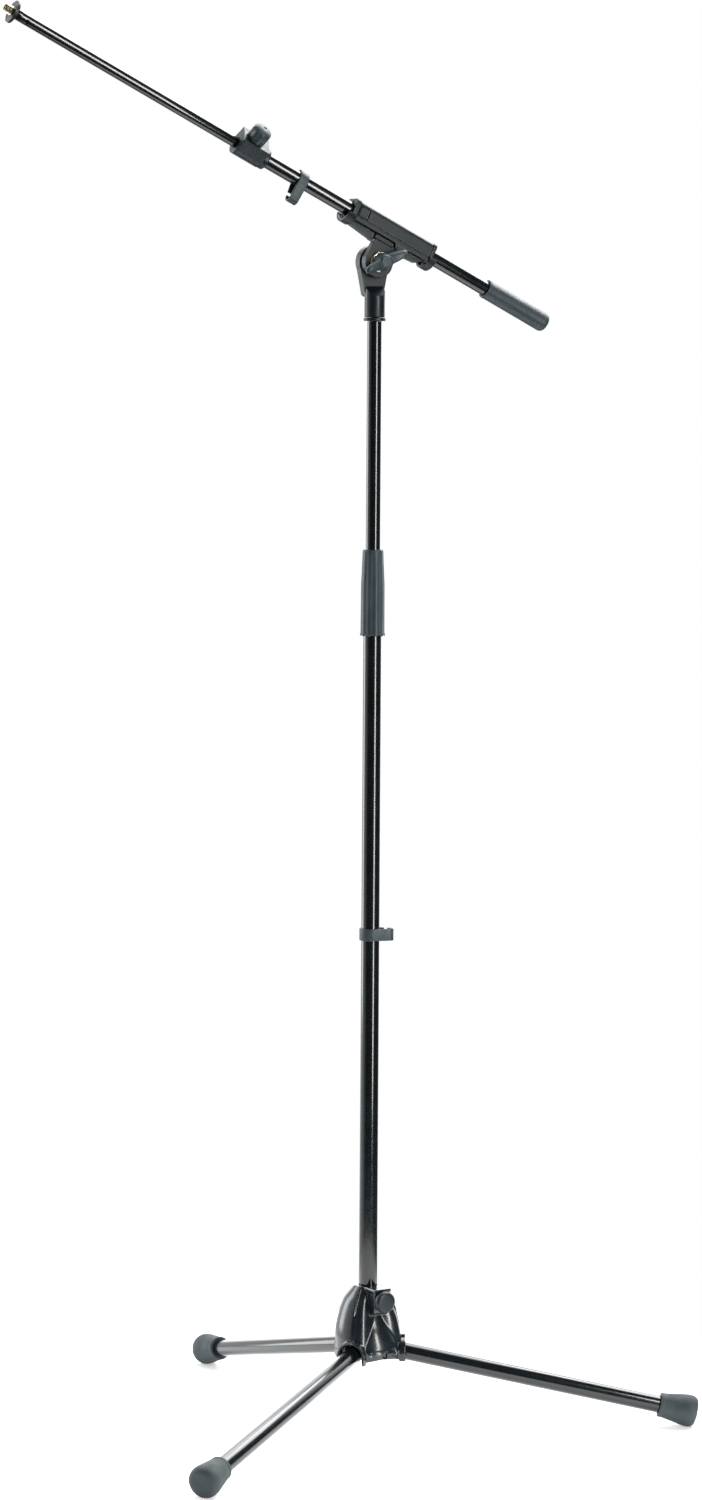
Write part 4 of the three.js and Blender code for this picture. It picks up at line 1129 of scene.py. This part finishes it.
def tele_block():
    """A clamp body rounded under the tube, with a step at each end."""
    tail = BLOCK_TIP + BLOCK_LONG
    top_half = BLOCK_R - 0.4
    shape = arc(0, 0, BLOCK_R, 180, 360, 64) + [(top_half, BLOCK_TOP), (-top_half, BLOCK_TOP)]
    body = prism(shape, BLOCK_TIP + 0.6, tail, "yz")
    rim = prism([(a * 0.97, b * 0.97) for a, b in shape], BLOCK_TIP, BLOCK_TIP + 2, "yz")
    collar = moved(rod(BLOCK_R - 0.6, tail - 1, BLOCK_COLLAR, 1.0, 96), ALONG_X)
    seat_start = span("boom_outer_tube", TELE, 0)[0] - SEAT_GAP
    cuts = [
        moved(rod(BOOM_R + FIT, seat_start, BLOCK_COLLAR + 2, 0, 96), ALONG_X),
        moved(rod(ROD_R + FIT, BLOCK_TIP - 2, BLOCK_COLLAR, 0, 96), ALONG_X),
        rod(TELE_SCREW_R + FIT, 0, BLOCK_TOP + 2, 0, 48),
    ]
    return combine([body, rim, collar], cuts, FINE_VOXEL, smooth=3)


piece("tele_block_skin", tele_block(), TELE, "boom", "dark_plastic",
      ["tele_clamp_block"], CAST_SHARP_ANGLE)


def tele_knob():
    """A domed knob with soft flutes and a dimple in its top."""
    low, high = span("tele_clamp_knob", TELE, 2)
    r = max(abs(v) for v in span("tele_clamp_knob", TELE, 0))
    side = [
        (0.0, low, 0), (r - 1.4, low, 0), (r - 0.6, low + 0.5, 1), (r - 0.2, low + 1.6, 1),
        (r, low + 9, 1), (r, high - 5.6, 1), (r - 0.4, high - 4.2, 0.7), (r - 1.3, high - 2.8, 0.3),
        (r - 2.6, high - 1.7, 0), (r - 4.2, high - 0.9, 0), (r - 6, high - 0.35, 0),
        (r - 7.6, high - 0.05, 0), (2.2, high, 0), (1.8, high - 0.25, 0), (1.2, high - 0.6, 0),
        (0.0, high - 0.8, 0),
    ]
    rings = []
    for radius, height, share in side:
        if radius == 0:
            rings.append([(0, 0, height)])
            continue

        def fluted(turn, radius=radius, share=share):
            return radius - 0.4 * share * (1 - math.cos(8 * turn))

        rings.append(round_ring(fluted, height, 160))
    return loft(rings)


piece("tele_knob_skin", tele_knob(), TELE, "tele_knob", "grey_plastic", ["tele_clamp_knob"])


def boom_clip():
    low, high = span("cable_clip_boom", BOOM, 0)
    bm = cable_clip(BOOM_R, 27, high - low)
    turned(bm, math.radians(90), "Y")
    return shifted(bm, x=(low + high) / 2)


piece("cable_clip_boom_skin", boom_clip(), BOOM, "boom_clip", "grey_plastic", ["cable_clip_boom"])


def inner_rod():
    """The sliding rod, with the small punch mark that keeps its end fitting in place."""
    start, end = span("boom_inner_tube", BOOM, 0)
    mark = start + 14.3
    mark_turn = math.radians(-60)
    # Stations along the rod, close together at the mark, and how far its ends are drawn in.
    outer = [start, start + 0.15, start + 0.4, start + 8]
    outer += [mark + 0.25 * k for k in range(-14, 15)]
    outer += [mark + 20, (start + end) / 2, end - 0.4, end - 0.15, end]
    edge = {0: 0.4, 1: 0.12, len(outer) - 2: 0.12, len(outer) - 1: 0.4}
    rings = []
    for k, station in enumerate(outer):

        def radius(turn, station=station, k=k):
            side = ROD_R * math.remainder(turn - mark_turn, 2 * math.pi)
            dent = 0.55 * math.exp(-((station - mark) ** 2 + side**2) / 2.6)
            return ROD_R - edge.get(k, 0) - dent

        rings.append(round_ring(radius, station, 160))
    bore = ROD_R - TUBE_WALL
    rings.append(round_ring(bore, end, 160))
    rings.append(round_ring(bore, start, 160))
    return moved(loft(rings, closed=True), ALONG_X)


piece("boom_inner_tube_skin", inner_rod(), BOOM, "rod", "gloss_black_paint", ["boom_inner_tube"])


def tip_flange():
    """A grooved collar in the rod's end, behind the stud."""
    start, end = span("boom_tip_flange", BOOM, 0)
    r = span("boom_tip_flange", BOOM, 1)[1]
    thick = min(3.0, end - start)
    side = [
        (0, start), (r - 3.6, start), (r - 3.2, start + 0.5), (r - 2.4, start + 0.5),
        (r - 2.0, start), (r, start), (r, start + thick), (ROD_R - 1.25, start + thick),
        (ROD_R - 1.25, end), (0, end),
    ]
    return moved(lathe(soften(side, 0.35, steps=3), 120), ALONG_X)


piece("tip_flange_skin", tip_flange(), BOOM, "rod", "dark_plastic", ["boom_tip_flange"])


def tip_stud():
    """A threaded stud for a microphone clip."""
    start, end = span("boom_tip_stud", BOOM, 0)
    r = span("boom_tip_stud", BOOM, 1)[1]
    pitch = 0.94
    depth = 0.5
    step = 0.14
    thread_end = span("boom_tip_flange", BOOM, 0)[0] - 0.4
    rings = [[(0, 0, start)], round_ring(r - 1.1, start, 64)]
    for k in range(int((thread_end - start - 1) / step)):
        station = start + 0.9 + k * step

        def radius(turn, station=station):
            phase = (station / pitch - turn / (2 * math.pi)) % 1
            return r - depth * abs(2 * phase - 1)

        rings.append(round_ring(radius, station, 64))
    rings += [round_ring(r - depth, thread_end, 64), round_ring(r - depth, end, 64), [(0, 0, end)]]
    return moved(loft(rings), ALONG_X)


piece("tip_stud_skin", tip_stud(), BOOM, "rod", "nickel", ["boom_tip_stud"])

# ---------------------------------------------------------------- kept nodes
KEPT = {
    "zinc_steel": [
        "base_clamp_pad", "base_clamp_screw", "clutch_body", "upper_tube_stud", "tilt_bolt",
        "wing_insert", "tele_clamp_pad", "tele_clamp_screw",
    ],
    "dark_plastic": [
        "lower_tube_plug", "clutch_collet", "upper_guide_bush", "boom_end_plug", "boom_inner_bush",
    ],
}
for slot, names in KEPT.items():
    for name in names:
        node = NODES[name]
        node.data.materials.clear()
        node.data.materials.append(FINISHES[slot])

# ---------------------------------------------------------------- floor
FLOOR_R = 0.6
FLOOR_THICK = 0.001


def floor_finish():
    shader = Shader("studio_floor")
    clouds = shader.between(shader.noise(1.5, 4), 0.3, 0.7)
    shader.link(shader.mix(clouds, (0.86, 0.87, 0.88, 1), (0.9, 0.9, 0.9, 1)), "Base Color")
    shader.link(shader.between(shader.noise(12, 3), 0.3, 0.7, 0.7, 0.85), "Roughness")
    shader.steady(Emission_Color=(1, 1, 1, 1), Emission_Strength=0.4, Specular_IOR_Level=0.1)
    return shader.material


def studio_floor():
    bm = loft([round_ring(FLOOR_R, -FLOOR_THICK, 160), round_ring(FLOOR_R, 0, 160)])
    floor = as_object(bm, "studio_floor")
    floor.data.materials.append(floor_finish())


studio_floor()

# ---------------------------------------------------------------- world and lights
AMBIENT = 0.05
# Name, azimuth, distance, height, the height it points at, width, length, watts and tint.
LIGHTS = [
    ("strip", 41, 3.5, 1.2, 0.9, 0.55, 3.4, 105, (1, 0.99, 0.96)),
    ("left_wall", -112, 3.2, 1.3, 0.9, 1.4, 2.8, 60, (0.96, 0.98, 1)),
    ("overhead", 175, 1.2, 3.6, 0.8, 2.6, 2.6, 90, (1, 1, 1)),
    ("upper_right", 128, 2.4, 3.3, 1.3, 1.9, 1.7, 75, (1, 1, 1)),
]


def world():
    """White to the camera, and two soft glows on a dim ground to everything else."""
    made = bpy.data.worlds.new("studio")
    SCENE.world = made
    made.use_nodes = True
    tree = made.node_tree
    nodes, links = tree.nodes, tree.links
    nodes.clear()
    place = nodes.new("ShaderNodeTexCoord").outputs["Generated"]

    def glow(direction, low, high, level):
        """Brightness that grows to level as the view nears a direction."""
        dot = nodes.new("ShaderNodeVectorMath")
        dot.operation = "DOT_PRODUCT"
        links.new(place, dot.inputs[0])
        dot.inputs[1].default_value = Vector(direction).normalized()
        ramp = nodes.new("ShaderNodeMapRange")
        ramp.interpolation_type = "SMOOTHSTEP"
        limits = {"From Min": low, "From Max": high, "To Min": 0, "To Max": level}
        for key, value in limits.items():
            ramp.inputs[key].default_value = value
        links.new(dot.outputs["Value"], ramp.inputs["Value"])
        return ramp.outputs["Result"]

    def calculated(operation, a, b):
        node = nodes.new("ShaderNodeMath")
        node.operation = operation
        feed(tree, node.inputs[0], a)
        feed(tree, node.inputs[1], b)
        return node.outputs[0]

    left_wall = glow((-0.85, 0.5, 0.1), 0.2, 0.9, 1.0)
    upper_back = glow((0.2, 0.85, 0.5), 0.6, 0.9, 3.0)
    level = calculated("ADD", calculated("MAXIMUM", left_wall, upper_back), AMBIENT)
    lit = nodes.new("ShaderNodeBackground")
    lit.inputs["Color"].default_value = (0.97, 0.99, 1, 1)
    links.new(level, lit.inputs["Strength"])
    seen = nodes.new("ShaderNodeBackground")
    seen.inputs["Color"].default_value = (1, 1, 1, 1)
    seen.inputs["Strength"].default_value = 1.0
    mix = nodes.new("ShaderNodeMixShader")
    links.new(nodes.new("ShaderNodeLightPath").outputs["Is Camera Ray"], mix.inputs[0])
    links.new(lit.outputs[0], mix.inputs[1])
    links.new(seen.outputs[0], mix.inputs[2])
    links.new(mix.outputs[0], nodes.new("ShaderNodeOutputWorld").inputs["Surface"])


def soft_box(name, azimuth, distance, height, aim, wide, tall, watts, tint):
    """An area light, with its azimuth in degrees to the right of the camera's side."""
    turn = math.radians(azimuth)
    spot = FOOT_OF_COLUMN + Vector((math.sin(turn), -math.cos(turn), 0)) * distance + UP * height
    data = bpy.data.lights.new(name, "AREA")
    data.shape = "RECTANGLE"
    data.size = wide
    data.size_y = tall
    data.energy = watts
    data.color = tint
    lamp = bpy.data.objects.new(name, data)
    lamp.location = spot
    target = FOOT_OF_COLUMN + UP * aim
    lamp.rotation_euler = (target - spot).to_track_quat("-Z", "Y").to_euler()
    SCENE.collection.objects.link(lamp)


world()
for light in LIGHTS:
    soft_box(*light)

# ---------------------------------------------------------------- camera
CAMERA_BACK = 4.7305
CAMERA_HEIGHT = 1.15515
YAW = math.radians(0.27)
PITCH = math.radians(5.0)
ROLL = math.radians(0.37)
LENS = 105.7
SENSOR_WIDTH = 36


def camera():
    data = bpy.data.cameras.new("camera")
    data.lens = LENS
    data.sensor_width = SENSOR_WIDTH
    data.sensor_fit = "AUTO"
    data.clip_end = 100
    made = bpy.data.objects.new("camera", data)
    spot = FOOT_OF_COLUMN + Vector((0, -CAMERA_BACK, CAMERA_HEIGHT))
    made.matrix_world = (
        Matrix.Translation(spot)
        @ Matrix.Rotation(YAW, 4, "Z")
        @ Matrix.Rotation(math.pi / 2 - PITCH, 4, "X")
        @ Matrix.Rotation(ROLL, 4, "Z")
    )
    SCENE.collection.objects.link(made)
    SCENE.camera = made


camera()
SCENE.view_settings.view_transform = "Standard"
